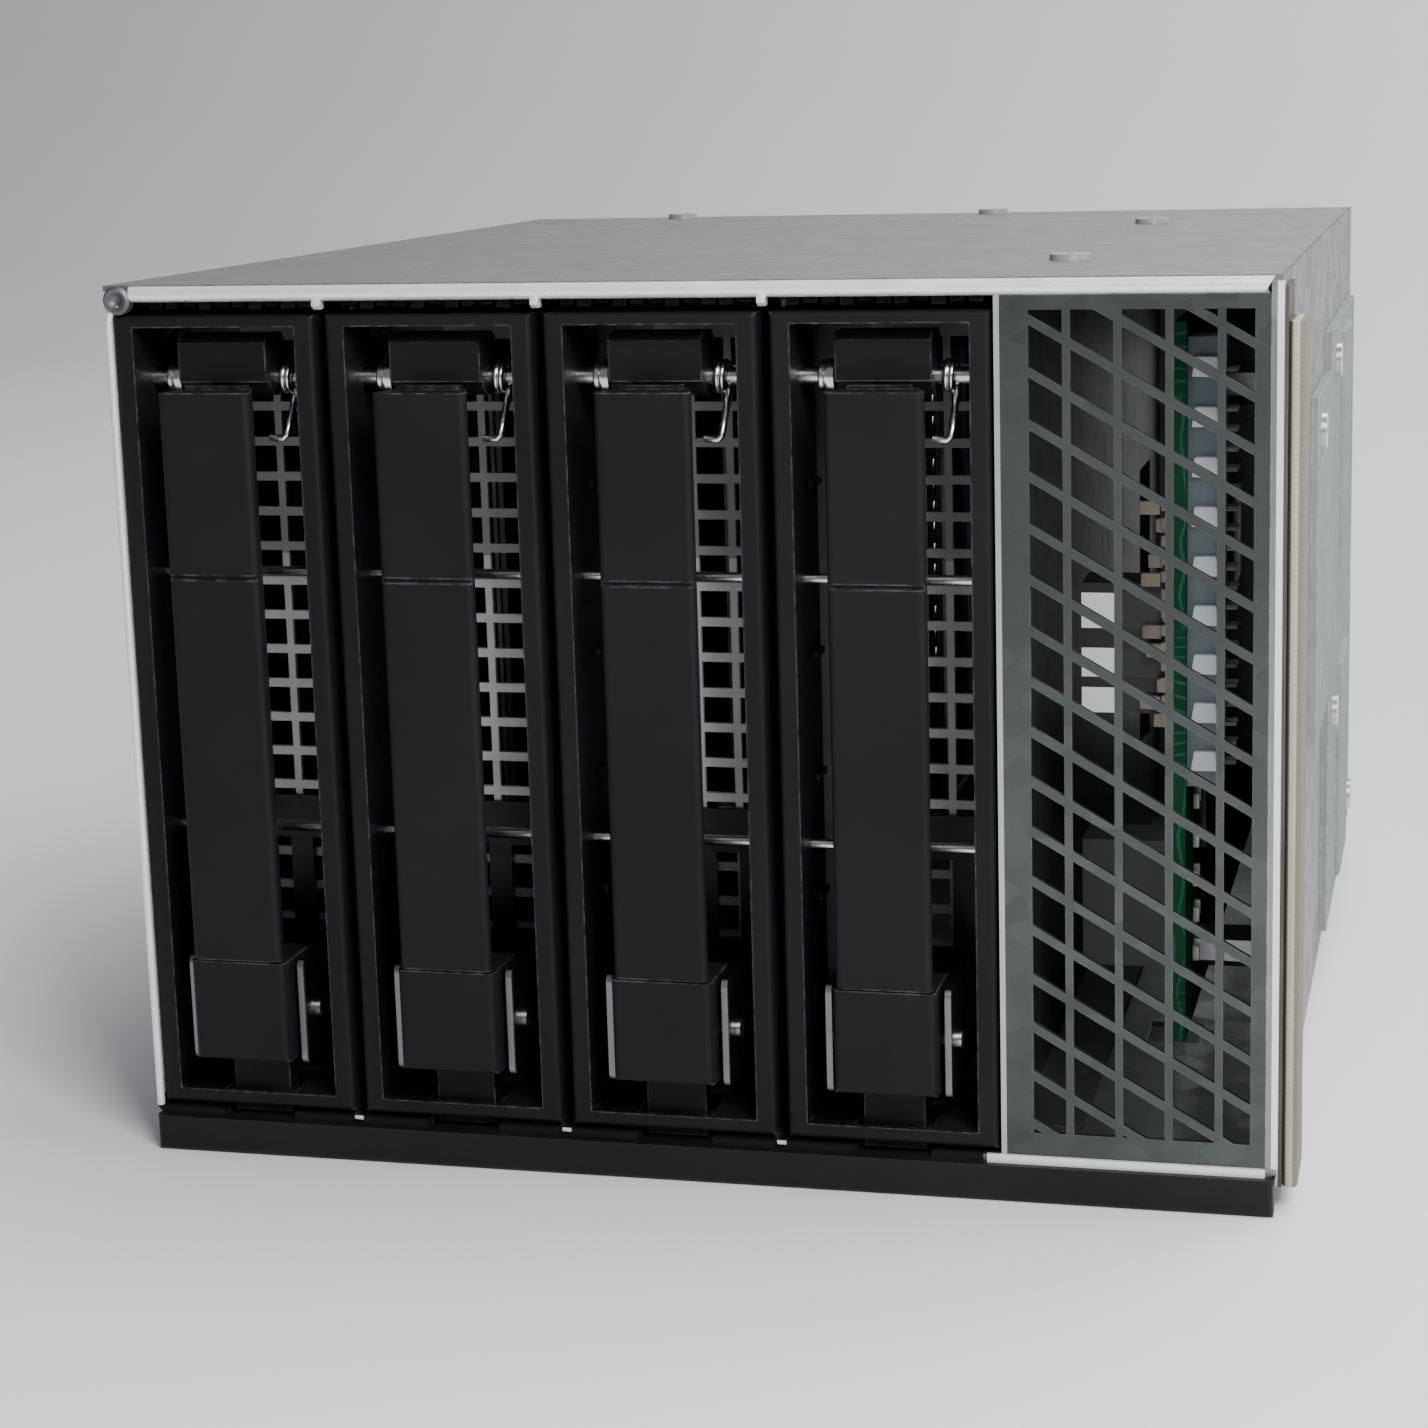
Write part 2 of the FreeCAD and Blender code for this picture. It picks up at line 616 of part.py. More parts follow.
def chamfer(body, size, *choices):
    """Bevel the edges that lie on each chosen pair of sides of the body's box."""
    return dress(body, "PartDesign::Chamfer", "Size", size, *choices)


def make_link(source, label, rotation=None):
    """A copy of a shape that keeps following its source, with a place of its own."""
    link = document.addObject("App::Link", label)
    link.LinkedObject = source
    if rotation is not None:
        link.Placement = FreeCAD.Placement(FreeCAD.Vector(0, 0, 0), rotation)
    return link


def group(label, members):
    """One sub-part made of several separate solids."""
    compound = document.addObject("Part::Compound", label)
    compound.Label = label
    compound.Links = members
    return compound


def cylinder(label, radius, length, axis="Z"):
    """Cylinder that starts at its own origin and runs along the axis."""
    item = document.addObject("Part::Cylinder", label)
    item.setExpression("Radius", formula(radius))
    item.setExpression("Height", formula(length))
    if axis == "X":
        item.Placement.Rotation = FreeCAD.Rotation(FreeCAD.Vector(0, 1, 0), 90)
    if axis == "Y":
        item.Placement.Rotation = FreeCAD.Rotation(FreeCAD.Vector(1, 0, 0), -90)
    return item


# ---------------------------------------------------------------- cage


def bay_centre(bay):
    """Formula for the middle of a bay, counted from 0."""
    return f"first_bay + {bay} * bay_pitch"


def gap_centre(gap):
    """Formula for the middle of the gap between two bays, counted from 0."""
    return f"first_gap + {gap} * bay_pitch"


def screw_places_on_bracket():
    """Depth and height of the screws that hold the side bracket."""
    front = "bracket_front + 2 * head_radius + pad_margin"
    middle = "bracket_body_front + pad_margin + pad_length / 2"
    rear = "bracket_body_front + bracket_body_length - 2 * head_radius - pad_margin"
    upper = "bracket_bottom + bracket_height - 2 * head_radius"
    lower = "bracket_bottom + 2 * head_radius"
    return [
        (front, "neck_bottom + neck_height - 2 * head_radius"),
        (middle, upper),
        (middle, "neck_bottom - 2 * head_radius"),
        (rear, lower),
    ]


def chassis_holes():
    """Depth and height of the four chassis screw holes."""
    return [
        (f"chassis_hole_front + {run} * chassis_hole_run", f"chassis_hole_bottom + {rise} * chassis_hole_rise")
        for run in (0, 1)
        for rise in (0, 1)
    ]


def side_board_screws():
    """Depth and height of the side board's screws."""
    return [
        (depth, height)
        for depth in (
            "side_board_setback + side_screw_inset + header_depth",
            "side_board_setback + side_board_length - side_screw_inset",
        )
        for height in ("side_board_bottom + side_screw_inset", "side_board_top - side_screw_inset")
    ]


def backplane_screws():
    """Place across and height of the backplane's screws."""
    return [
        (f"{bay_centre(bay)} + board_screw_offset", height)
        for bay in (0, BAYS - 1)
        for height in ("board_bottom + board_screw_rise", "board_top - board_screw_rise")
    ]


def cover_screws():
    """Place across and depth of the cover's screws: two over the partition, two at the rear."""
    over_partition = "partition_right + cover_screw_inset"
    at_rear = "rear_inner - cover_screw_inset"
    return [
        (over_partition, "cover_screw_front"),
        (over_partition, "cover_screw_front + cover_screw_spacing"),
        (gap_centre(0), at_rear),
        (gap_centre(BAYS - 2), at_rear),
    ]


def make_base_pan():
    """Floor and both side walls, bent from one sheet, with notches, slots, hooks and screw holes."""
    pan = new_body("base_pan")
    section = [
        ("-half_width", "ground_gap"),
        ("half_width", "ground_gap"),
        ("half_width", "cover_under"),
        ("inner_right", "cover_under"),
        ("inner_right", "floor_top"),
        ("inner_left", "floor_top"),
        ("inner_left", "cover_under"),
        ("-half_width", "cover_under"),
    ]
    pad(pan, "XZ_Plane", "0", "cage_depth", [section])
    fillet(pan, "pan_bend", {"z": "min", "x": "min"}, {"z": "min", "x": "max"})
    hem = rectangle("half_width - hem_width", "floor_top", "inner_right", "cover_under")
    pad(pan, "XZ_Plane", "0", "hem_depth", [hem])

    notch = centred("first_bay", "0", "nose_slot", "cam_notch_depth")
    notches = pocket(pan, "XY_Plane", "ground_gap", "pan_sheet", [notch])
    row_of(pan, notches, along(pan, "X"), "bay_pitch", BAYS)

    stud = circle("first_gap", "lip_stud_depth", "lip_stud_radius + tab_play")
    studs = pocket(pan, "XY_Plane", "ground_gap", "pan_sheet", [stud])
    row_of(pan, studs, along(pan, "X"), "bay_pitch", BAYS - 1)

    slots = pocket(pan, "XY_Plane", "ground_gap", "pan_sheet", [tab_slot()])
    grid_of(pan, slots, tab_rows(pan))

    # each hook is bent down from the window behind it
    for side in (-1, 1):
        left = f"{side} * (half_width - hook_inset) - hook_width / 2"
        right = f"{left} + hook_width"
        front = "front_hook_depth"
        leg = rectangle(left, front, right, f"{front} + pan_sheet")
        legs = pad(pan, "XY_Plane", "0", "ground_gap", [leg])
        row_of(pan, legs, along(pan, "Y"), "hook_spacing", 2)
        foot = rectangle(left, f"{front} - hook_length", right, front)
        feet = pad(pan, "XY_Plane", "0", "hook_foot", [foot])
        row_of(pan, feet, along(pan, "Y"), "hook_spacing", 2)
        window = rectangle(left, f"{front} + pan_sheet", right, f"{front} + pan_sheet + hook_length")
        windows = pocket(pan, "XY_Plane", "ground_gap", "pan_sheet", [window])
        row_of(pan, windows, along(pan, "Y"), "hook_spacing", 2)

    holes = [circle(depth, height, "screw_hole") for depth, height in screw_places_on_bracket()]
    holes += [circle(depth, height, "chassis_hole_radius") for depth, height in chassis_holes()]
    pocket(pan, "YZ_Plane", "inner_right", "pan_sheet", holes)
    return pan


def tab_slot():
    """Slot in the floor or the cover for a divider's first tab."""
    width = "divider_sheet + 2 * tab_play"
    front = "divider_setback + divider_tab_depth"
    return centred("first_gap", f"{front} - tab_play", width, f"{front} + divider_tab_length + tab_play")


def tab_rows(body):
    """The pattern of the dividers' tabs across and along the cage."""
    return [(along(body, "X"), "bay_pitch", BAYS - 1), (along(body, "Y"), "divider_tab_spacing", 2)]


def make_top_cover():
    """Cover sheet with short side flanges and a folded, mitred front band."""
    cover = new_body("top_cover")
    pad(cover, "XY_Plane", "cover_under", "cover_sheet", [rectangle("-half_width", "0", "half_width", "cage_depth")])
    for inner, outer in (("inner_left", "inner_left + cover_sheet"), ("inner_right - cover_sheet", "inner_right")):
        flange = rectangle(inner, "hem_depth + cover_sheet", outer, "rear_inner - rear_flange - cover_sheet")
        pad(cover, "XY_Plane", "cover_under - cover_flange", "cover_flange", [flange])
    band = [
        ("band_inset + band_mitre - half_width", "cage_height"),
        ("band_inset - half_width", "band_bottom"),
        ("half_width - band_inset + band_mitre", "band_bottom"),
        ("half_width - band_inset", "cage_height"),
    ]
    pad(cover, "XZ_Plane", "0", "band_depth", [band])
    slots = pocket(cover, "XY_Plane", "cover_under", "cover_sheet", [tab_slot()])
    grid_of(cover, slots, tab_rows(cover))
    holes = [circle(across, depth, "screw_hole") for across, depth in cover_screws()]
    pocket(cover, "XY_Plane", "cover_under", "cover_sheet", holes)
    return cover


def make_rear_panel():
    """Rear sheet with a connector window behind each bay and exhaust slots behind the compartment."""
    panel = new_body("rear_panel")
    sheet = rectangle("inner_left", "floor_top", "inner_right", "cover_under")
    pad(panel, "XZ_Plane", "rear_inner", "rear_sheet", [sheet])
    window = centred("first_bay", "rear_window_bottom", "rear_window_width", "rear_window_bottom + rear_window_height")
    windows = pocket(panel, "XZ_Plane", "rear_inner", "rear_sheet", [window])
    row_of(panel, windows, along(panel, "X"), "bay_pitch", BAYS)
    first = "partition_right + louvre_spacing"
    louvre = rectangle(first, "louvre_bottom", f"{first} + louvre_width", "louvre_bottom + louvre_height")
    louvres = pocket(panel, "XZ_Plane", "rear_inner", "rear_sheet", [louvre])
    row_of(panel, louvres, along(panel, "X"), "louvre_spacing", 4)
    for low in ("floor_top", "cover_under - rear_sheet"):
        flange = rectangle("inner_left + pan_bend", "rear_inner - rear_flange", "partition_left - pan_bend", "rear_inner")
        pad(panel, "XY_Plane", low, "rear_sheet", [flange])
    holes = [circle(across, height, "screw_hole") for across, height in backplane_screws()]
    pocket(panel, "XZ_Plane", "rear_inner", "rear_sheet", holes)
    holes = [circle(across, depth, "screw_hole") for across, depth in cover_screws()[2:]]
    pocket(panel, "XY_Plane", "cover_under - rear_sheet", "rear_sheet", holes)
    return panel


def make_front_lip():
    """Black strip under the bays, with a flange and studs that hold it to the floor."""
    lip = new_body("front_lip")
    section = [
        ("-lip_thickness / 2", "0"),
        ("lip_thickness / 2", "0"),
        ("lip_thickness / 2", "ground_gap - lip_flange"),
        ("lip_reach", "ground_gap - lip_flange"),
        ("lip_reach", "ground_gap"),
        ("-lip_thickness / 2", "ground_gap"),
    ]
    pad(lip, "YZ_Plane", "lip_end_gap - half_width", "cage_width - 2 * lip_end_gap", [section])
    fillet(lip, "lip_rounding", {"z": "min", "y": "min"}, {"y": "min", "x": "min"}, {"y": "min", "x": "max"})
    stud = circle("first_gap", "lip_stud_depth", "lip_stud_radius")
    studs = pad(lip, "XY_Plane", "ground_gap - lip_flange / 2", "lip_flange / 2 + pan_sheet", [stud])
    row_of(lip, studs, along(lip, "X"), "bay_pitch", BAYS - 1)
    return lip


def make_divider(gap):
    """Upright sheet between two bays, with tabs through the floor and the cover."""
    divider = new_body(f"bay_divider_{gap + 1}")
    low = "-divider_sheet / 2"
    sheet = rectangle("divider_setback", "floor_top", "divider_rear", "cover_under")
    pad(divider, "YZ_Plane", low, "divider_sheet", [sheet])
    first = "divider_setback + divider_tab_depth"
    for bottom, top in (("ground_gap", "floor_top"), ("cover_under", "cage_height")):
        tab = rectangle(first, bottom, f"{first} + divider_tab_length", top)
        tabs = pad(divider, "YZ_Plane", low, "divider_sheet", [tab])
        row_of(divider, tabs, along(divider, "Y"), "divider_tab_spacing", 2)
    catch = [
        ("divider_setback", "cover_under - catch_tab_height"),
        ("divider_setback", "cover_under"),
        ("divider_setback - catch_tab_reach", "cover_under - catch_tab_height / 4"),
        ("divider_setback - catch_tab_reach", "cover_under - 3 * catch_tab_height / 4"),
    ]
    pad(divider, "YZ_Plane", low, "divider_sheet", [catch])
    middle = "(floor_top + cover_under) / 2"
    front = "divider_setback + divider_slot_spacing - divider_slot_width"
    slot = rectangle(
        front,
        f"{middle} - divider_slot_height / 2",
        f"{front} + divider_slot_width",
        f"{middle} + divider_slot_height / 2",
    )
    slots = pocket(divider, "YZ_Plane", low, "divider_sheet", [slot])
    row_of(divider, slots, along(divider, "Y"), "divider_slot_spacing", 5)
    place(divider, x=gap_centre(gap))
    return divider


def make_partition():
    """Wall between the last bay and the board compartment, with flanges and a cable window."""
    wall = new_body("partition_wall")
    sheet = [
        ("vent_sheet", "floor_top"),
        ("rear_inner", "floor_top"),
        ("rear_inner", "cover_under"),
        ("band_depth", "cover_under"),
        ("band_depth", "band_bottom"),
        ("vent_sheet", "band_bottom"),
    ]
    pad(wall, "YZ_Plane", "partition_left", "partition_sheet", [sheet])
    flange_left = "partition_right"
    flange = rectangle(flange_left, "vent_flange + vent_sheet", f"{flange_left} + partition_flange", "rear_inner - rear_flange")
    for low in ("floor_top", "cover_under - partition_sheet"):
        pad(wall, "XY_Plane", low, "partition_sheet", [flange])
    rear = "rear_inner - cable_window_width"
    window = rectangle(
        f"{rear} - cable_window_width",
        "louvre_bottom",
        rear,
        "louvre_bottom + cable_window_height",
    )
    pocket(wall, "YZ_Plane", "partition_left", "partition_sheet", [window])
    holes = [circle(across, depth, "screw_hole") for across, depth in cover_screws()[:2]]
    pocket(wall, "XY_Plane", "cover_under - partition_sheet", "partition_sheet", holes)
    return wall


def make_runners():
    """Strips that the trays slide on: flat ones on the floor, ribbed ones under the cover."""
    lower = new_body("lower_runners", several=True)
    strip = centred("first_bay", "runner_front", "runner_width", "runner_front + runner_length")
    strips = pad(lower, "XY_Plane", "floor_top", "tray_bottom - runner_play - floor_top", [strip])
    row_of(lower, strips, along(lower, "X"), "bay_pitch", BAYS)
    upper = new_body("upper_runners", several=True)
    half = "runner_width / 2"
    low = "tray_top + runner_play"
    section = [
        (f"first_bay - {half}", low),
        (f"first_bay - {half} + runner_rib", low),
        (f"first_bay - {half} + runner_rib", "cover_under - runner_web"),
        (f"first_bay + {half} - runner_rib", "cover_under - runner_web"),
        (f"first_bay + {half} - runner_rib", low),
        (f"first_bay + {half}", low),
        (f"first_bay + {half}", "cover_under"),
        (f"first_bay - {half}", "cover_under"),
    ]
    strips = pad(upper, "XZ_Plane", "runner_front", "runner_length", [section])
    row_of(upper, strips, along(upper, "X"), "bay_pitch", BAYS)
    return [lower, upper]


def make_vent_panel():
    """Front panel of the compartment: a lattice of posts and slanted rungs in a plain border."""
    panel = new_body("vent_panel", several=True)
    right = "half_width - hem_width"
    outer = rectangle("partition_left", "floor_top", right, "band_bottom")
    window = rectangle(
        "partition_left + vent_border_left",
        "floor_top + vent_border_bottom",
        f"{right} - vent_border_right",
        "band_bottom - vent_border_top",
    )
    run = f"{right} - vent_border_right / 2 - partition_left"
    fall = f"({run}) * cell_drop / cell_pitch_across"
    low = "floor_top"
    rung = [
        ("partition_left", low),
        (f"partition_left + {run}", f"{low} - {fall}"),
        (f"partition_left + {run}", f"{low} - {fall} + cell_rung"),
        ("partition_left", f"{low} + cell_rung"),
    ]
    rungs = pad(panel, "XZ_Plane", "0", "vent_sheet", [rung])
    row_of(panel, rungs, along(panel, "Z"), "cell_pitch_up", 21)
    first = "partition_left + vent_border_left + cell_first"
    post = rectangle(first, "floor_top", f"{first} + cell_post", "band_bottom")
    posts = pad(panel, "XZ_Plane", "0", "vent_sheet", [post])
    row_of(panel, posts, along(panel, "X"), "cell_pitch_across", 4)
    around = rectangle("-cage_width", "-cage_height", "cage_width", "2 * cage_height")
    pocket(panel, "XZ_Plane", "0", "vent_sheet", [around, window])
    pad(panel, "XZ_Plane", "0", "vent_sheet", [outer, window])
    flange = rectangle("partition_right", "vent_sheet", "partition_right + vent_sheet", "vent_flange")
    pad(panel, "XY_Plane", "floor_top", "band_bottom - floor_top", [flange])
    sill = rectangle("partition_left - sill_overlap", "ground_gap", right, "ground_gap + sill_height")
    pad(panel, "XZ_Plane", "-sill_thickness", "sill_thickness", [sill])
    return panel


def make_gasket():
    """Soft conductive strip on the right wall, and the dark tape under it."""
    bottom = "ground_gap - gasket_margin"
    height = "cage_height - ground_gap"
    tape = new_body("gasket_tape")
    strip = rectangle("half_width", "gasket_setback", "half_width + tape_thickness", "gasket_setback + gasket_depth")
    pad(tape, "XY_Plane", bottom, height, [strip])
    gasket = new_body("emi_gasket")
    inner = "half_width + tape_thickness"
    strip = rectangle(inner, "gasket_setback", f"{inner} + gasket_thickness", "gasket_setback + gasket_depth")
    pad(gasket, "XY_Plane", bottom, height, [strip])
    fillet(gasket, "gasket_rounding", {"x": "max", "y": "min"}, {"x": "max", "y": "max"})
    return [tape, gasket]


def make_side_bracket():
    """Stepped sheet on the right wall with raised pads, screw holes and chassis holes."""
    bracket = new_body("side_bracket")
    rear = "bracket_body_front + bracket_body_length"
    outline = [
        ("bracket_front", "neck_bottom"),
        ("bracket_body_front", "neck_bottom"),
        ("bracket_body_front", "bracket_bottom"),
        (rear, "bracket_bottom"),
        (rear, "bracket_bottom + bracket_height"),
        ("bracket_body_front", "bracket_bottom + bracket_height"),
        ("bracket_body_front", "neck_bottom + neck_height"),
        ("bracket_front", "neck_bottom + neck_height"),
    ]
    pad(bracket, "YZ_Plane", "half_width", "mount_sheet", [outline])
    split = "bracket_bottom + bracket_height / 2"
    front = "bracket_body_front + pad_margin + pad_length"
    pads = [
        rectangle(front, "bracket_bottom + pad_margin", f"{front} + pad_length", f"{split} - pad_gap / 2"),
        rectangle(
            front,
            f"{split} + pad_gap / 2",
            f"{front} + pad_length",
            "bracket_bottom + bracket_height - pad_margin",
        ),
    ]
    pad(bracket, "YZ_Plane", "bracket_face", "pad_rise", pads)
    chamfer(bracket, "pad_rise / 2", {"x": "max"})
    holes = [circle(depth, height, "screw_hole") for depth, height in screw_places_on_bracket()]
    holes += [circle(depth, height, "chassis_hole_radius") for depth, height in chassis_holes()]
    pocket(bracket, "YZ_Plane", "half_width", "mount_sheet", holes)
    return bracket


def make_screws():
    """Pan head screws of the cover, the side bracket, the backplane and the side board."""
    screw = new_body("screw_pattern")
    pad(screw, "XY_Plane", "-screw_length", "screw_length", [circle("0", "0", "screw_radius")])
    pad(screw, "XY_Plane", "0", "head_height", [circle("0", "0", "head_radius")])
    low = "head_height - recess_depth"
    pocket(screw, "XY_Plane", low, "recess_depth", [centred("0", "-recess_length / 2", "recess_width", "recess_length / 2")])
    pocket(screw, "XY_Plane", low, "recess_depth", [centred("0", "-recess_width / 2", "recess_length", "recess_width / 2")])
    up = FreeCAD.Rotation()
    right = FreeCAD.Rotation(FreeCAD.Vector(0, 1, 0), 90)
    forward = FreeCAD.Rotation(FreeCAD.Vector(1, 0, 0), 90)
    left = FreeCAD.Rotation(FreeCAD.Vector(0, 1, 0), -90)
    places = [(up, across, depth, "cage_height") for across, depth in cover_screws()]
    places += [(right, "bracket_face", depth, height) for depth, height in screw_places_on_bracket()]
    places += [(forward, across, "board_front", height) for across, height in backplane_screws()]
    places += [(left, "side_board_left", depth, height) for depth, height in side_board_screws()]
    members = []
    for number, (rotation, across, depth, height) in enumerate(places):
        link = make_link(screw, f"screw_{number}", rotation)
        place(link, across, depth, height)
        members.append(link)
    return group("pan_head_screws", members)


def make_standoffs():
    """Hexagonal posts that carry the backplane and the side board."""
    members = []
    runs = [("Y", across, "board_rear", height, "standoff_length") for across, height in backplane_screws()]
    runs += [("X", "side_board_right", depth, height, "side_standoff") for depth, height in side_board_screws()]
    for number, (axis, across, depth, height, length) in enumerate(runs):
        post = document.addObject("Part::Prism", f"post_{number}")
        post.Polygon = 6
        post.setExpression("Circumradius", formula("standoff_radius"))
        post.setExpression("Height", formula(length))
        bore = cylinder(f"post_bore_{number}", "screw_hole", "screw_length")
        threaded = document.addObject("Part::Cut", f"standoff_{number}")
        threaded.Base = post
        threaded.Tool = bore
        if axis == "X":
            threaded.Placement.Rotation = FreeCAD.Rotation(FreeCAD.Vector(0, 1, 0), 90)
        else:
            threaded.Placement.Rotation = FreeCAD.Rotation(FreeCAD.Vector(1, 0, 0), -90)
        place(threaded, across, depth, height)
        members.append(threaded)
    return group("board_standoffs", members)


def make_backplane():
    """Board across the rear of the bays with an airflow slot behind each drive."""
    board = new_body("backplane_board")
    sheet = rectangle(
        "inner_left + board_edge_gap",
        "board_bottom",
        "partition_left - board_edge_gap",
        "board_top",
    )
    pad(board, "XZ_Plane", "board_front", "board_sheet", [sheet])
    slot = centred(
        "first_bay + board_slot_offset",
        "board_slot_bottom",
        "board_slot_width",
        "board_slot_bottom + board_slot_height",
    )
    slots = pocket(board, "XZ_Plane", "board_front", "board_sheet", [slot])
    row_of(board, slots, along(board, "X"), "bay_pitch", BAYS)
    holes = [circle(across, height, "screw_hole") for across, height in backplane_screws()]
    pocket(board, "XZ_Plane", "board_front", "board_sheet", holes)
    return board


def make_drive_sockets():
    """One upright combined data and power socket behind each drive."""
    sockets = new_body("drive_sockets", several=True)
    middle = "first_bay - socket_offset"
    front = "board_front - socket_reach"
    block = centred(middle, "socket_bottom", "socket_width", "socket_bottom + socket_height")
    blocks = pad(sockets, "XZ_Plane", front, "socket_reach", [block])
    row_of(sockets, blocks, along(sockets, "X"), "bay_pitch", BAYS)
    slot = centred(
        middle,
        "socket_bottom + socket_wall",
        "socket_slot_width",
        "socket_bottom + socket_height - socket_wall",
    )
    slots = pocket(sockets, "XZ_Plane", front, "socket_slot_depth", [slot])
    row_of(sockets, slots, along(sockets, "X"), "bay_pitch", BAYS)
    return sockets


def make_data_connectors():
    """One data connector per bay on the backplane's rear side."""
    connectors = new_body("data_connectors", several=True)
    middle = "first_bay - socket_offset / 2"
    block = centred(middle, "data_bottom", "data_width", "data_bottom + data_height")
    blocks = pad(connectors, "XZ_Plane", "board_rear", "data_reach", [block])
    row_of(connectors, blocks, along(connectors, "X"), "bay_pitch", BAYS)
    slot = centred(middle, "data_bottom + data_wall", "data_slot_width", "data_bottom + data_height - data_wall")
    low = "board_rear + data_reach - data_slot_depth"
    slots = pocket(connectors, "XZ_Plane", low, "data_slot_depth", [slot])
    row_of(connectors, slots, along(connectors, "X"), "bay_pitch", BAYS)
    return connectors


def make_power_connectors():
    """Two four-pin power connectors on the backplane's rear side."""
    connectors = new_body("power_connectors", several=True)
    middle = "first_bay - socket_offset / 2"
    block = centred(middle, "power_bottom", "power_width", "power_bottom + power_height")
    blocks = pad(connectors, "XZ_Plane", "board_rear", "power_reach", [block])
    row_of(connectors, blocks, along(connectors, "X"), f"{BAYS - 1} * bay_pitch", 2)
    mouth = centred(
        middle,
        "power_bottom + power_wall",
        "power_width - 2 * power_wall",
        "power_bottom + power_height - power_wall",
    )
    mouths = pocket(connectors, "XZ_Plane", "board_rear + power_floor", "power_reach - power_floor", [mouth])
    row_of(connectors, mouths, along(connectors, "X"), f"{BAYS - 1} * bay_pitch", 2)
    first = "power_bottom + power_height / 2 - 1.5 * power_pin_pitch"
    pin = circle(middle, first, "power_pin_radius")
    pins = pad(connectors, "XZ_Plane", "board_rear + power_floor", "power_pin_length", [pin])
    rows = [(along(connectors, "X"), f"{BAYS - 1} * bay_pitch", 2), (along(connectors, "Z"), "power_pin_pitch", 4)]
    grid_of(connectors, pins, rows)
    return connectors


def make_backplane_parts():
    """A chip and a capacitor per bay on the backplane's rear side."""
    parts = new_body("backplane_parts", several=True)
    middle = "first_bay - socket_offset / 2"
    chip = centred(middle, "chip_bottom", "chip_side", "chip_bottom + chip_side")
    chips = pad(parts, "XZ_Plane", "board_rear", "chip_height", [chip])
    row_of(parts, chips, along(parts, "X"), "bay_pitch", BAYS)
    can = circle(middle, "capacitor_bottom", "capacitor_radius")
    cans = pad(parts, "XZ_Plane", "board_rear", "capacitor_height", [can])
    row_of(parts, cans, along(parts, "X"), "bay_pitch", BAYS)
    return parts


def make_side_board():
    """Upright board behind the vent with its long signal header and two power headers."""
    board = new_body("side_board")
    rear = "side_board_setback + side_board_length"
    sheet = rectangle("side_board_setback", "side_board_bottom", rear, "side_board_top")
    pad(board, "YZ_Plane", "side_board_left", "board_sheet", [sheet])
    holes = [circle(depth, height, "screw_hole") for depth, height in side_board_screws()]
    pocket(board, "YZ_Plane", "side_board_left", "board_sheet", holes)

    header = new_body("side_board_header")
    front = "side_board_setback + header_setback"
    block = rectangle(front, "header_top - header_height", f"{front} + header_depth", "header_top")
    pad(header, "YZ_Plane", "side_board_right", "header_thickness", [block])
    chamfer(header, "power_wall / 2", {"x": "max", "y": "min"}, {"x": "max", "y": "max"})

    plugs = new_body("side_board_power", several=True)
    outer = "side_board_left - plug_reach"
    low = "plug_bottom - 2 * plug_height"
    block = rectangle(front, low, f"{front} + plug_depth", f"{low} + plug_height")
    blocks = pad(plugs, "YZ_Plane", outer, "plug_reach", [block])
    row_of(plugs, blocks, along(plugs, "Z"), "2 * plug_height", 2)
    mouth = rectangle(
        f"{front} + plug_wall",
        f"{low} + plug_wall",
        f"{front} + plug_depth - plug_wall",
        f"{low} + plug_height - plug_wall",
    )
    mouths = pocket(plugs, "YZ_Plane", outer, "plug_cavity", [mouth])
    row_of(plugs, mouths, along(plugs, "Z"), "2 * plug_height", 2)
    return [board, header, plugs]


# ---------------------------------------------------------------- carriers


def at_bay(item, bay):
    """Put a carrier's piece, built about its own centre plane, in its bay."""
    place(item, x=bay_centre(bay))
    return item


def make_bezel(name):
    """Black frame of a carrier, with rod seats, a slot for the cam nose and lugs for the tray."""
    bezel = new_body(name + "_bezel")
    outer = centred("0", "frame_bottom", "frame_width", "frame_top")
    opening = centred("0", "opening_bottom", "2 * opening_half", "opening_top")
    pad(bezel, "XZ_Plane", "0", "frame_depth", [outer, opening])
    fillet(
        bezel,
        "frame_rounding",
        {"y": "min", "x": "min"},
        {"y": "min", "x": "max"},
        {"y": "min", "z": "min"},
        {"y": "min", "z": "max"},
    )
    lugs = [
        centred("0", "tray_floor", "lug_width", "tray_floor + lug_thickness"),
        centred("0", "tray_ceiling - lug_thickness", "lug_width", "tray_ceiling"),
    ]
    pad(bezel, "XZ_Plane", "frame_depth", "lug_length", lugs)
    root = centred("0", "opening_top - lug_thickness / 2", "lug_width", "tray_ceiling")
    pad(bezel, "XZ_Plane", "frame_depth - lug_thickness", "lug_thickness", [root])
    seats = [
        circle("rod_depth", "opening_bottom + lower_rod_rise", "rod_radius + pin_play"),
        circle("rod_depth", "opening_top - upper_rod_drop", "rod_radius + pin_play"),
        circle("rod_depth", "latch_pin_height", "latch_pin_radius + pin_play"),
    ]
    pocket(bezel, "YZ_Plane", "-rod_half", "2 * rod_half", seats)
    slot = centred("0", "nose_setback - nose_play", "nose_slot", "frame_depth")
    pocket(bezel, "XY_Plane", "frame_bottom", "frame_sill", [slot])
    return bezel


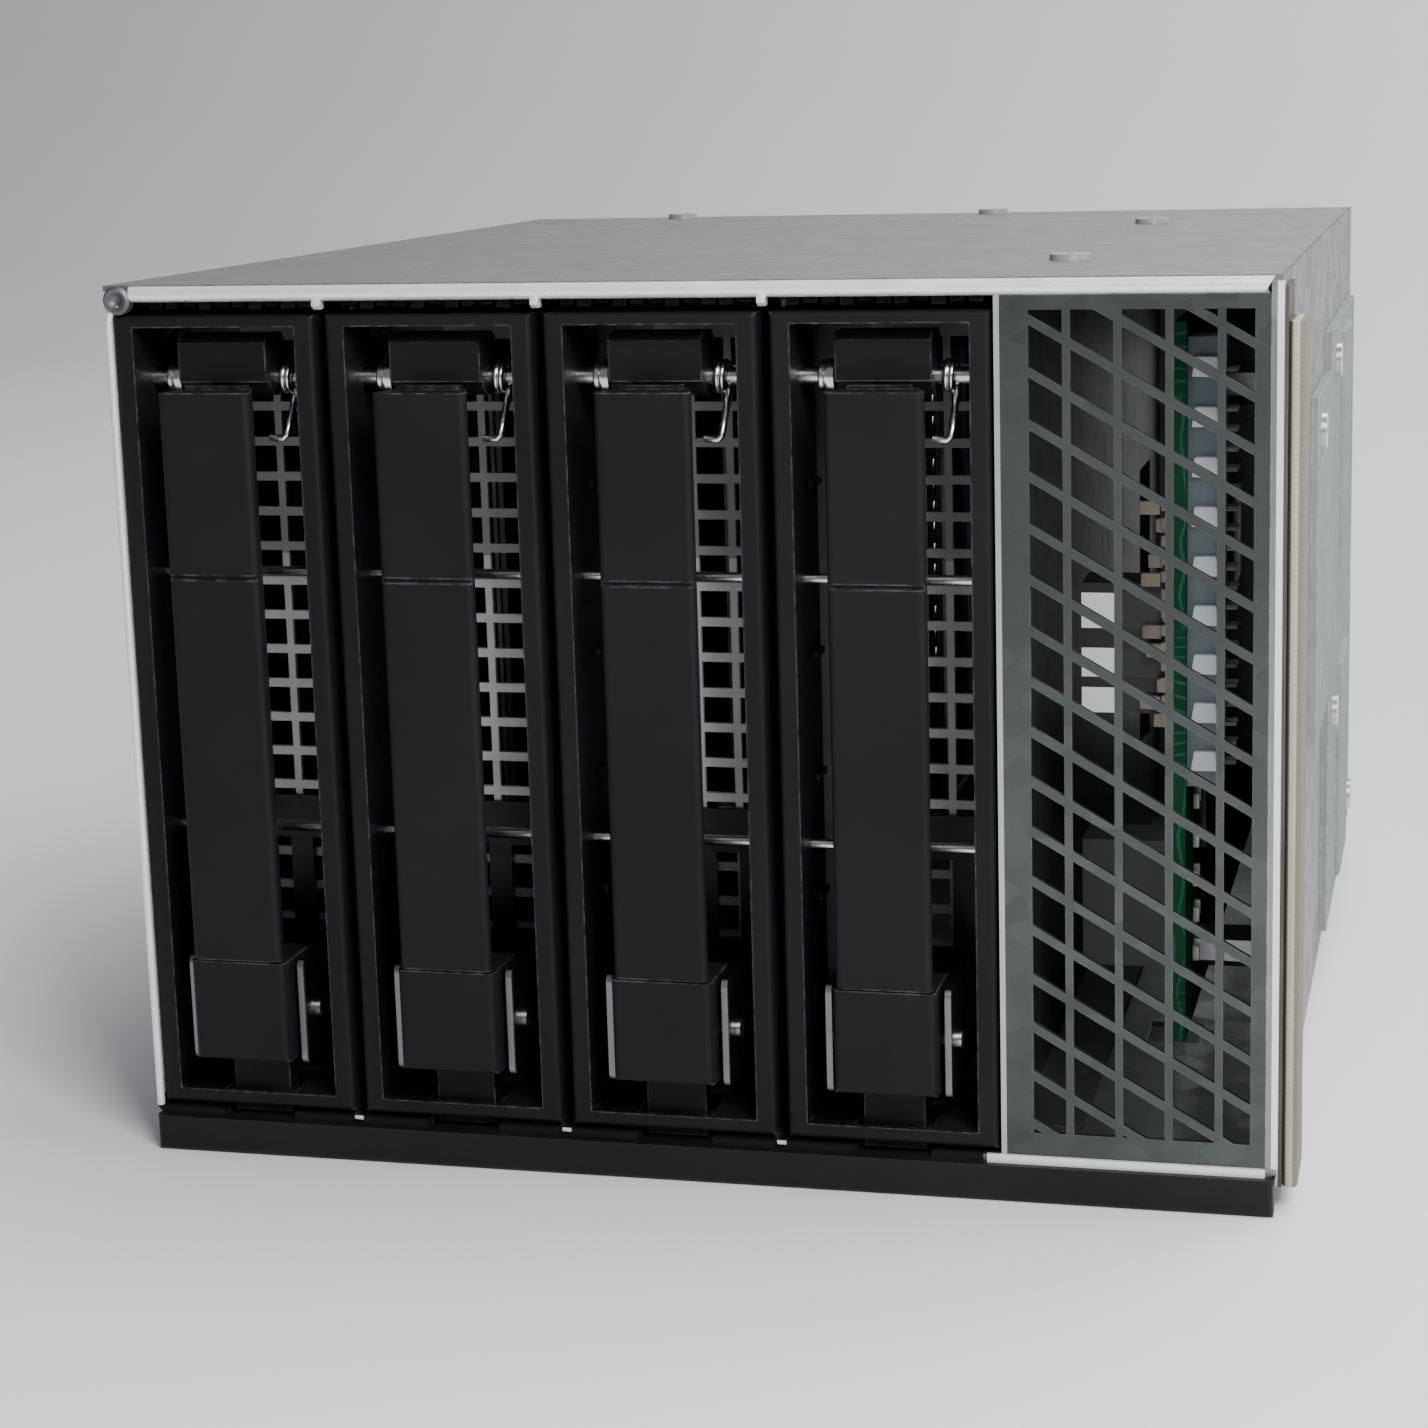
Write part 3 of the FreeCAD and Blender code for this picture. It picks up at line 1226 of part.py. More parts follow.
def make_tray(name):
    """Channel that holds the drive: one slotted side sheet and two flanges with screw holes."""
    tray = new_body(name + "_tray")
    section = [
        ("-tray_half", "tray_bottom"),
        ("tray_half", "tray_bottom"),
        ("tray_half", "tray_floor"),
        ("tray_inner", "tray_floor"),
        ("tray_inner", "tray_ceiling"),
        ("tray_half", "tray_ceiling"),
        ("tray_half", "tray_top"),
        ("-tray_half", "tray_top"),
    ]
    pad(tray, "XZ_Plane", "frame_depth", "tray_length", [section])
    front = "frame_depth + tray_slot_front"
    middle = "(tray_bottom + tray_top) / 2"
    slot = rectangle(
        front,
        f"{middle} - tray_slot_height / 2",
        f"{front} + tray_slot_width",
        f"{middle} + tray_slot_height / 2",
    )
    slots = pocket(tray, "YZ_Plane", "-tray_half", "tray_sheet", [slot])
    row_of(tray, slots, along(tray, "Y"), "tray_slot_spacing", 6)
    across = "tray_inner + drive_side_gap + drive_screw_rise"
    hole = circle(across, "drive_front + drive_screw_front", "drive_screw_radius")
    for low in ("tray_bottom", "tray_ceiling"):
        holes = pocket(tray, "XY_Plane", low, "tray_sheet", [hole])
        row_of(tray, holes, along(tray, "Y"), "drive_screw_spacing", 2)
    return tray


def make_screen(name):
    """Punched steel sheet behind the bezel, with flanges along its top and bottom."""
    screen = new_body(name + "_screen")
    left = "tray_inner + pin_play"
    right = "tray_half - screen_edge_gap"
    sheet = rectangle(left, "tray_floor", right, "tray_ceiling")
    pad(screen, "XZ_Plane", "screen_setback", "screen_sheet", [sheet])
    hole = centred(
        "-1.5 * screen_column_pitch - screen_shift",
        "tray_floor + screen_first_row",
        "screen_hole_width",
        "tray_floor + screen_first_row + screen_hole_height",
    )
    holes = pocket(screen, "XZ_Plane", "screen_setback", "screen_sheet", [hole])
    rows = [(along(screen, "X"), "screen_column_pitch", 4), (along(screen, "Z"), "screen_row_pitch", 21)]
    grid_of(screen, holes, rows)
    flange = rectangle(left, "screen_rear", right, "screen_rear + screen_flange")
    pad(screen, "XY_Plane", "tray_floor", "screen_sheet", [flange])
    pad(screen, "XY_Plane", "tray_ceiling - screen_sheet", "screen_sheet", [flange])
    return screen


def make_hinge_bracket(name):
    """Steel bracket on the screen whose two cheeks carry the lever's hinge pin."""
    bracket = new_body(name + "_hinge_bracket")
    web_front = "screen_setback - hinge_sheet"
    low = "foot_bottom - web_drop"
    web = centred("0", low, "2 * cheek_outer", f"{low} + web_height")
    pad(bracket, "XZ_Plane", web_front, "hinge_sheet", [web])
    slot = centred(
        "-web_slot_width",
        f"{low} + web_height - 1.5 * web_slot_height",
        "web_slot_width",
        f"{low} + web_height - web_slot_height / 2",
    )
    slots = pocket(bracket, "XZ_Plane", web_front, "hinge_sheet", [slot])
    row_of(bracket, slots, along(bracket, "X"), "2 * web_slot_width", 2)
    bottom = "foot_bottom - cheek_drop"
    for inner in ("-cheek_outer", "cheek_inner"):
        cheek = rectangle("-cheek_proud", bottom, web_front, f"{bottom} + cheek_height")
        pad(bracket, "YZ_Plane", inner, "hinge_sheet", [cheek])
    tip = bracket.Tip
    front = tip.Shape.BoundBox.YMin
    corners = [
        f"Edge{number}"
        for number, edge in enumerate(tip.Shape.Edges, start=1)
        if edge.BoundBox.YMax < front + 1e-4 and edge.BoundBox.XLength > 1e-3
    ]
    rounding = bracket.newObject("PartDesign::Fillet", bracket.Label + "_edges")
    rounding.Base = (tip, corners)
    rounding.setExpression("Radius", formula("cheek_rounding"))
    bracket.Tip = rounding
    document.recompute()
    bore = circle("pivot_depth", "pivot_height", "hinge_pin_radius + pin_play")
    pocket(bracket, "YZ_Plane", "-cheek_outer", "2 * cheek_outer", [bore])
    return bracket


def make_pins(name, bay):
    """Hinge pin, latch pin with its retaining clip, and the two cross rods."""
    reach = "rod_half"
    runs = [
        ("hinge_pin", "hinge_pin_radius", "cheek_outer + hinge_pin_overhang", "pivot_depth", "pivot_height"),
        ("latch_pin", "latch_pin_radius", reach, "rod_depth", "latch_pin_height"),
        ("lower_rod", "rod_radius", reach, "rod_depth", "opening_bottom + lower_rod_rise"),
        ("upper_rod", "rod_radius", reach, "rod_depth", "opening_top - upper_rod_drop"),
    ]
    members = []
    for label, radius, half, depth, height in runs:
        pin = cylinder(f"{name}_{label}", radius, f"2 * ({half})", "X")
        place(pin, f"{bay_centre(bay)} - ({half})", depth, height)
        members.append(pin)
    ring = cylinder(f"{name}_clip_disc", "clip_radius", "clip_thickness", "X")
    bore = cylinder(f"{name}_clip_bore", "latch_pin_radius", "clip_thickness", "X")
    clip = document.addObject("Part::Cut", f"{name}_clip")
    clip.Base = ring
    clip.Tool = bore
    left = f"{bay_centre(bay)} - latch_width / 2 - clip_gap - clip_thickness"
    place(clip, left, "rod_depth", "latch_pin_height")
    members.append(clip)
    return group(name + "_pins", members)


def make_latch_spring(name):
    """Coil on the latch pin with one straight leg that hooks towards the lever."""
    spring = new_body(name + "_latch_spring")
    left = "latch_width / 2 + clip_gap"
    ring = [
        circle("rod_depth", "latch_pin_height", "coil_radius"),
        circle("rod_depth", "latch_pin_height", "latch_pin_radius + coil_play"),
    ]
    pad(spring, "YZ_Plane", left, "coil_length", ring)
    top = "latch_pin_height - latch_pin_radius"
    bottom = f"{top} - leg_length"
    front = "rod_depth - coil_radius"
    leg = [
        (front, top),
        (f"{front} + spring_wire", top),
        (f"{front} + spring_wire - leg_lean", bottom),
        (f"{front} - leg_lean", bottom),
    ]
    outer = f"{left} + coil_length - spring_wire"
    pad(spring, "YZ_Plane", outer, "spring_wire", [leg])
    arm = rectangle(
        f"{outer} - hook_arm",
        f"{front} - leg_lean",
        f"{outer} + spring_wire",
        f"{front} + spring_wire - leg_lean",
    )
    pad(spring, "XY_Plane", bottom, "spring_wire", [arm])
    return spring


def make_lever(name):
    """Long channel-shaped lever that narrows backwards, with a groove across its face and a tongue on top."""
    lever = new_body(name + "_lever")
    section = tapered("-lever_proud", "lever_width / 2", "lever_back", "lever_back_width / 2")
    pad(lever, "XY_Plane", "lever_bottom", "lever_top - lever_bottom", [section])
    fillet(lever, "lever_rounding", {"y": "min", "x": "min"}, {"y": "min", "x": "max"})
    hollow = tapered(
        "lever_wall - lever_proud",
        "lever_width / 2 - lever_side_wall",
        "lever_back",
        "lever_back_width / 2 - lever_side_wall",
    )
    height = "lever_top - lever_side_wall - lever_bottom"
    pocket(lever, "XY_Plane", "lever_bottom", height, [hollow])
    groove = rectangle(
        "-lever_proud",
        "lever_top - groove_drop",
        "groove_depth - lever_proud",
        "lever_top - groove_drop + groove_width",
    )
    pocket(lever, "YZ_Plane", "-lever_width / 2", "lever_width", [groove])
    tongue = centred("0", "lever_wall / 2 - lever_proud / 4", "tongue_width", "lever_back")
    pad(lever, "XY_Plane", "lever_top", "tongue_height", [tongue])
    return lever


def make_lever_foot(name):
    """Solid block that turns on the hinge pin, with a cam nose below and a tongue up into the lever."""
    foot = new_body(name + "_lever_foot")
    back = "foot_back"
    section = [
        ("-lever_proud", "foot_bottom"),
        (f"{back} - foot_bevel", "foot_bottom"),
        (back, "foot_bottom + foot_bevel"),
        (back, "foot_top - foot_bevel"),
        (f"{back} - foot_bevel", "foot_top"),
        ("-lever_proud", "foot_top"),
    ]
    pad(foot, "YZ_Plane", "-lever_width / 2", "lever_width", [section])
    fillet(foot, "foot_rounding", {"y": "min", "x": "min"}, {"y": "min", "x": "max"}, {"y": "min", "z": "min"})
    play = "foot_tongue_play"
    tongue = centred(
        "0",
        f"lever_wall + {play} - lever_proud",
        f"lever_back_width - 2 * lever_side_wall - 2 * {play}",
        "lever_back - foot_seam",
    )
    pad(foot, "XY_Plane", "foot_top", "foot_tongue_length", [tongue])
    nose = centred("0", "nose_setback", "nose_width", "nose_setback + nose_thickness")
    pad(foot, "XY_Plane", "nose_tip", "foot_bottom - nose_tip", [nose])
    bore = circle("pivot_depth", "pivot_height", "hinge_pin_radius + pin_play")
    pocket(foot, "YZ_Plane", "-lever_width / 2", "lever_width", [bore])
    return foot


def make_latch(name):
    """Latch block above the lever, with a boss round the latch pin and bevelled edges."""
    latch = new_body(name + "_latch")
    block = rectangle("latch_setback", "latch_bottom", "latch_back", "latch_top")
    pad(latch, "YZ_Plane", "-latch_width / 2", "latch_width", [block])
    chamfer(latch, "latch_bevel", {"y": "min", "z": "max"}, {"y": "max", "z": "max"}, {"y": "max", "z": "min"})
    bore = circle("rod_depth", "latch_pin_height", "latch_pin_radius + pin_play")
    boss = circle("rod_depth", "latch_pin_height", "latch_boss")
    pad(latch, "YZ_Plane", "-latch_width / 2", "latch_width", [boss])
    pocket(latch, "YZ_Plane", "-latch_width / 2", "latch_width", [bore])
    return latch


def make_carrier(bay):
    """All nine sub-parts of one drive carrier."""
    name = f"carrier_{bay + 1}"
    bodies = [
        make_bezel(name),
        make_tray(name),
        make_screen(name),
        make_hinge_bracket(name),
        make_latch_spring(name),
        make_lever(name),
        make_lever_foot(name),
        make_latch(name),
    ]
    return [at_bay(item, bay) for item in bodies] + [make_pins(name, bay)]


def make_cage():
    """All sub-parts that stay with the cage."""
    nodes = [make_base_pan(), make_top_cover(), make_rear_panel(), make_front_lip()]
    nodes += [make_divider(gap) for gap in range(BAYS - 1)]
    nodes.append(make_partition())
    nodes += make_runners()
    nodes.append(make_vent_panel())
    nodes += make_gasket()
    nodes += [make_side_bracket(), make_screws(), make_standoffs(), make_backplane()]
    nodes += [make_drive_sockets(), make_data_connectors(), make_power_connectors(), make_backplane_parts()]
    return nodes + make_side_board()


def check_states():
    """Stop if any object of the document is in error."""
    for item in document.Objects:
        if "Invalid" in item.State or "Error" in item.State:
            raise RuntimeError(f"{item.Name}: {item.State}")


def check_shape(node):
    """Stop if a sub-part has no shape or a bad one."""
    if node.Shape.isNull() or not node.Shape.isValid() or not node.Shape.Solids:
        raise RuntimeError(node.Label + ": bad shape")


def export(nodes):
    """Write each sub-part to its own STEP file."""
    os.makedirs("parts", exist_ok=True)
    for node in nodes:
        node.Shape.exportStep(f"parts/{node.Label}.step")
        print(f"{node.Label}: {len(node.Shape.Solids)} solids, {node.Shape.Volume:.1f} mm3")


fill_sheet()
sub_parts = make_cage()
for bay_number in range(BAYS):
    sub_parts += make_carrier(bay_number)
document.recompute()
check_states()
for sub_part in sub_parts:
    check_shape(sub_part)
export(sub_parts)
print(len(sub_parts), "sub-parts written")
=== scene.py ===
"""Looks of a four-bay hot swap drive cage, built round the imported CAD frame.

Lengths are millimetres in the CAD frame and become metres when a mesh is made. The studio is laid out in metres.
"""

import json
import logging
import math
from dataclasses import dataclass, field, replace
from enum import Enum
from typing import Any, Iterable, Sequence

import bmesh
import bpy
from mathutils import Matrix, Vector

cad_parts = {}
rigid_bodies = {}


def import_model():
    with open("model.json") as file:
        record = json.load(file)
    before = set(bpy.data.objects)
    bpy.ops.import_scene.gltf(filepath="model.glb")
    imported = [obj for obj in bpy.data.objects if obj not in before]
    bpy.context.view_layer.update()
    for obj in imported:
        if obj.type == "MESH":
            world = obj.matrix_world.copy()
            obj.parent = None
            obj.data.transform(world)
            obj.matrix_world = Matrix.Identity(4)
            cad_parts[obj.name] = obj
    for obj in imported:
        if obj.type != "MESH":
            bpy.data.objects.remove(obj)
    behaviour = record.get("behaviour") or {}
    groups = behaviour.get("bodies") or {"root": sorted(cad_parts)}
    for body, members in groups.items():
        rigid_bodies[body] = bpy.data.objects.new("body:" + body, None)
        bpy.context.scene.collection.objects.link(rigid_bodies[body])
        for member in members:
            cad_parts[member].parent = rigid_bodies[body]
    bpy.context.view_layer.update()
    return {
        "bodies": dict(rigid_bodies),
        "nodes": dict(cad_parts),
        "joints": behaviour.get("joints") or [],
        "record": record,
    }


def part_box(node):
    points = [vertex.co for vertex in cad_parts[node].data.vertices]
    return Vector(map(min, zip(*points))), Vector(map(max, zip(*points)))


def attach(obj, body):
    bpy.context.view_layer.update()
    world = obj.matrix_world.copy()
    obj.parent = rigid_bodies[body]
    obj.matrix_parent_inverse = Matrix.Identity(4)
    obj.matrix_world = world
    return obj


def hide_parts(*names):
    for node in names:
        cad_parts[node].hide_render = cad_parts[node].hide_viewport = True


MM = 0.001
LOG = logging.getLogger("drive_cage")

BAYS = range(1, 5)
FIRST_BAY_MIDDLE = -60.65
BAY_PITCH = 29.1

Point = Sequence[float]
Colour = tuple[float, float, float]
Span = tuple[float, float]
Piece = bpy.types.Object


# --- shader graph


class Sock:
    """One value of a shader graph; arithmetic on it adds the matching node."""

    def __init__(self, graph: "Graph", output: bpy.types.NodeSocket) -> None:
        """Wrap an output.

        Args:
            graph: The graph that owns the node.
            output: The node's output socket.
        """
        self.graph = graph
        self.output = output

    def _join(self, operation: str, first: Any, second: Any = 0.0) -> "Sock":
        """Add a Math node, or a Vector Math node where a value is a vector.

        Args:
            operation: Name of the operation in both kinds of math node.
            first: Left value.
            second: Right value, where the operation has one.

        Returns:
            The node's result.
        """
        vector = any(isinstance(value, Sock) and value.output.type == "VECTOR" for value in (first, second))
        kind = "ShaderNodeVectorMath" if vector else "ShaderNodeMath"
        return self.graph.node(kind, {"operation": operation}, {0: first, 1: second})

    def __add__(self, other: Any) -> "Sock":
        """Sum."""
        return self._join("ADD", self, other)

    def __radd__(self, other: Any) -> "Sock":
        """Sum with the other value first."""
        return self._join("ADD", other, self)

    def __sub__(self, other: Any) -> "Sock":
        """Difference."""
        return self._join("SUBTRACT", self, other)

    def __rsub__(self, other: Any) -> "Sock":
        """Difference with the other value first."""
        return self._join("SUBTRACT", other, self)

    def __mul__(self, other: Any) -> "Sock":
        """Product."""
        return self._join("MULTIPLY", self, other)

    def __rmul__(self, other: Any) -> "Sock":
        """Product with the other value first."""
        return self._join("MULTIPLY", other, self)

    def __gt__(self, other: Any) -> "Sock":
        """1 where this is larger, else 0."""
        return self._join("GREATER_THAN", self, other)

    def __lt__(self, other: Any) -> "Sock":
        """1 where this is smaller, else 0."""
        return self._join("LESS_THAN", self, other)

    def clamp(self) -> "Sock":
        """The value held between 0 and 1."""
        return self._join("MINIMUM", self._join("MAXIMUM", self, 0.0), 1.0)

    def sine(self) -> "Sock":
        """Sine of the value."""
        return self._join("SINE", self)

    def ramp(self, low: float, high: float) -> "Sock":
        """0 below low, 1 above high, smooth between.

        Args:
            low: Value that gives 0.
            high: Value that gives 1.

        Returns:
            The eased value.
        """
        values = {"Value": self, "From Min": low, "From Max": high}
        return self.graph.node("ShaderNodeMapRange", {"interpolation_type": "SMOOTHSTEP"}, values)

    def axis(self, name: str) -> "Sock":
        """One component of a vector.

        Args:
            name: X, Y or Z.

        Returns:
            The component.
        """
        return self.graph.node("ShaderNodeSeparateXYZ", None, {0: self}, name)


class Graph:
    """A material's node tree, built one node at a time."""

    # Places of a Mix node's colour sockets.
    MIX_FIRST, MIX_SECOND, MIX_RESULT = 6, 7, 2
    NOISE_ROUGHNESS = 0.55
    BEVEL_SAMPLES = 4
    EDGE_RAMP = (0.02, 0.3)

    def __init__(self, name: str) -> None:
        """Start an empty material.

        Args:
            name: The material's name.
        """
        self.material = bpy.data.materials.new(name)
        self.material.use_nodes = True
        self.tree = self.material.node_tree
        self.tree.nodes.clear()

    def node(
        self, kind: str, settings: dict[str, Any] | None = None, values: dict[Any, Any] | None = None, output: Any = 0
    ) -> Sock:
        """Add a node.

        Args:
            kind: The node's type name.
            settings: Node settings, set before the sockets.
            values: Socket name or number to a plain value or another socket.
            output: Name or number of the output to hand back, where the node has any.

        Returns:
            The chosen output.
        """
        made = self.tree.nodes.new(kind)
        for key, value in (settings or {}).items():
            setattr(made, key, value)
        for key, value in (values or {}).items():
            if isinstance(value, Sock):
                self.tree.links.new(value.output, made.inputs[key])
            else:
                made.inputs[key].default_value = value
        return Sock(self, made.outputs[output] if made.outputs else None)

    def mix(self, share: Any, first: Any, second: Any) -> Sock:
        """Blend two colours.

        Args:
            share: Share of the second colour.
            first: Colour at share 0.
            second: Colour at share 1.

        Returns:
            The blended colour.
        """
        values = {0: share}
        for place, value in ((self.MIX_FIRST, first), (self.MIX_SECOND, second)):
            values[place] = value if isinstance(value, Sock) else (*value, 1.0)
        return self.node("ShaderNodeMix", {"data_type": "RGBA"}, values, self.MIX_RESULT)

    def place(self, stretch: Colour = (1.0, 1.0, 1.0)) -> Sock:
        """Position on the object in millimetres, stretched per axis.

        Args:
            stretch: Factor per axis.

        Returns:
            The position.
        """
        spot = self.node("ShaderNodeTexCoord", output="Object")
        return spot * tuple(factor / MM for factor in stretch)

    def noise(self, spot: Sock, size: float, detail: float) -> Sock:
        """Noise whose features have the given size.

        Args:
            spot: Position in millimetres.
            size: Feature size in millimetres.
            detail: Octaves of detail.

        Returns:
            The noise.
        """
        values = {"Vector": spot, "Scale": 1.0 / size, "Detail": detail, "Roughness": self.NOISE_ROUGHNESS}
        return self.node("ShaderNodeTexNoise", None, values, "Fac")

    def edge_wear(self, radius: float) -> Sock:
        """About 0 on flat faces and up to 1 on sharp edges.

        Args:
            radius: Width of the edge in millimetres.

        Returns:
            The wear.
        """
        rounded = self.node("ShaderNodeBevel", {"samples": self.BEVEL_SAMPLES}, {"Radius": radius * MM})
        true = self.node("ShaderNodeNewGeometry", output="Normal")
        alike = self.node("ShaderNodeVectorMath", {"operation": "DOT_PRODUCT"}, {0: rounded, 1: true}, "Value")
        return (1.0 - alike).ramp(*self.EDGE_RAMP)

    def close(self, surface: dict[str, Any], height: Sock, strength: float, distance: float) -> None:
        """Add the surface shader, its bump and the output.

        Args:
            surface: Values for the surface shader's sockets.
            height: Height of the bump.
            strength: Strength of the bump.
            distance: Depth of the bump in millimetres.
        """
        values = {"Strength": strength, "Distance": distance * MM, "Height": height}
        bump = self.node("ShaderNodeBump", None, values)
        shader = self.node("ShaderNodeBsdfPrincipled", None, {**surface, "Normal": bump})
        self.node("ShaderNodeOutputMaterial", None, {"Surface": shader})


# --- finishes


class Pattern(Enum):
    """What a surface shows beside its broad patches, with the shares of colour and of bump that it takes."""

    SPANGLE = (0.38, 0.6)
    ROLLED = (0.35, 1.0)
    GRAIN = (0.0, 0.0)
    WEAVE = (0.3, 0.8)
    BOARD = (0.55, 0.7)


OPEN = 1000.0


def above(bound: float) -> Span:
    """The span past a bound."""
    return (bound, OPEN)


def below(bound: float) -> Span:
    """The span short of a bound."""
    return (-OPEN, bound)


@dataclass(frozen=True)
class Accent:
    """A block of space, in millimetres, inside which the colour and metallic change; some accents are the part's own
    colour and some are painted highlights and painted shade.
    """

    colour: Colour
    metallic: float
    share: float = 1.0
    x: Span = (-OPEN, OPEN)
    y: Span = (-OPEN, OPEN)
    z: Span = (-OPEN, OPEN)

    def mask(self, spot: Sock) -> Sock:
        """Where the accent shows.

        Args:
            spot: Position in millimetres.

        Returns:
            The accent's share inside the block, and 0 outside it.
        """
        tests = []
        for name, (low, high) in zip("XYZ", (self.x, self.y, self.z)):
            if low > -OPEN:
                tests.append(spot.axis(name) > low)
            if high < OPEN:
                tests.append(spot.axis(name) < high)
        return math.prod(tests, start=self.share)


@dataclass(frozen=True)
class Finish:
    """One procedural finish and the record's slot it belongs to."""

    slot: str
    pattern: Pattern
    base: Colour
    patch: Colour
    worn: Colour
    metallic: float = 0.0
    roughness: float = 0.4
    spread: float = 0.16
    grain: float = 0.5
    bump: float = 0.1
    patch_size: float = 12.0
    patch_share: float = 0.5
    wear: float = 0.4
    wear_radius: float = 0.3
    coat: float = 0.0
    specular: float = 0.5
    name: str = ""
    accents: tuple[Accent, ...] = ()

    PATCH_RAMP = (0.35, 0.7)
    SMUDGE_RAMP = (0.5, 0.8)
    SMUDGE_SIZE = 0.45
    SMUDGE_SPREAD = 0.8
    SCUFF_RAMP = (0.35, 0.65)
    SCUFF_SIZE = 1.7
    CRYSTAL_SIZE = 3.4
    CRYSTAL_SPREAD = 0.14
    CRYSTAL_STRETCH = (1.0, 0.8, 1.2)
    LINE_STRETCH = (6.0, 6.0, 0.15)
    WANDER_SIZE, WANDER = 9.0, 5.0
    UPRIGHT_PACE, LEVEL_PACE = 4.2, 3.6
    REGION_SIZE = 14.0
    ACCENT_GRAIN = 0.35
    ACCENT_SHADE = 0.8
    COAT_ROUGHNESS = 0.25
    BUMP_DEPTH = 0.08

    def material(self) -> bpy.types.Material:
        """Build the node material.

        Returns:
            The new material.
        """
        graph = Graph(self.name or self.slot)
        spot = graph.place()
        patches = graph.noise(spot, self.patch_size, 4.0).ramp(*self.PATCH_RAMP)
        colour = graph.mix(patches * self.patch_share, self.base, self.patch)
        fine = graph.noise(spot, self.grain, 2.0)
        rough = self.roughness + (fine - 0.5) * self.spread
        height = fine
        if self.pattern is not Pattern.GRAIN:
            share, depth = self.pattern.value
            mark = self._mark(graph, spot)
            tint = self.worn if self.pattern is Pattern.BOARD else self.patch
            colour = graph.mix((mark * share).clamp(), colour, tint)
            height = mark * depth + fine * (1.0 - depth)
            gloss = {Pattern.SPANGLE: self.CRYSTAL_SPREAD, Pattern.ROLLED: self.spread}.get(self.pattern)
            if gloss:
                rough = rough + (mark - 0.5) * gloss
        smudge = graph.noise(spot, self.patch_size * self.SMUDGE_SIZE, 5.0).ramp(*self.SMUDGE_RAMP)
        rough = rough + smudge * (self.spread * self.SMUDGE_SPREAD)
        if self.pattern is not Pattern.BOARD:
            scuffs = graph.noise(spot, self.SCUFF_SIZE, 3.0).ramp(*self.SCUFF_RAMP)
            worn = graph.edge_wear(self.wear_radius) * scuffs * self.wear
            colour = graph.mix(worn.clamp(), colour, self.worn)
        metallic: Any = self.metallic
        for accent in self.accents:
            mask = accent.mask(spot)
            darker = tuple(self.ACCENT_SHADE * part for part in accent.colour)
            tint = graph.mix((fine * self.ACCENT_GRAIN).clamp(), accent.colour, darker)
            colour = graph.mix(mask, colour, tint)
            metallic = metallic + mask * (accent.metallic - metallic)
        surface = {
            "Base Color": colour,
            "Metallic": metallic,
            "Roughness": rough.clamp(),
            "Coat Weight": self.coat,
            "Coat Roughness": self.COAT_ROUGHNESS,
            "Specular IOR Level": self.specular,
        }
        graph.close(surface, height, self.bump, self.BUMP_DEPTH)
        return graph.material

    def _mark(self, graph: Graph, spot: Sock) -> Sock:
        """The pattern over the broad patches: crystals, sheet lines, a weave or a board's copper runs.

        Args:
            graph: The material's graph.
            spot: Position in millimetres.

        Returns:
            The pattern, from 0 to 1.
        """
        if self.pattern is Pattern.SPANGLE:
            values = {"Vector": spot * self.CRYSTAL_STRETCH, "Scale": 1.0 / self.CRYSTAL_SIZE}
            return graph.node("ShaderNodeTexVoronoi", None, values, "Color").axis("X")
        if self.pattern is Pattern.ROLLED:
            return graph.noise(graph.place(self.LINE_STRETCH), self.grain, 3.0)
        if self.pattern is Pattern.WEAVE:
            across, along = ((spot.axis(name) * (math.tau / self.grain)).sine() for name in "YZ")
            return across * along * 0.5 + 0.5
        wander = graph.noise(spot, self.WANDER_SIZE, 1.0) * self.WANDER
        upright = ((spot.axis("Z") + wander) * self.UPRIGHT_PACE).sine().ramp(0.72, 0.86)
        level = ((spot.axis("Y") + spot.axis("X") + wander) * self.LEVEL_PACE).sine().ramp(0.76, 0.9)
        region = graph.noise(spot, self.REGION_SIZE, 0.0).ramp(0.46, 0.52)
        return (upright * region + level * (1.0 - region)).clamp()


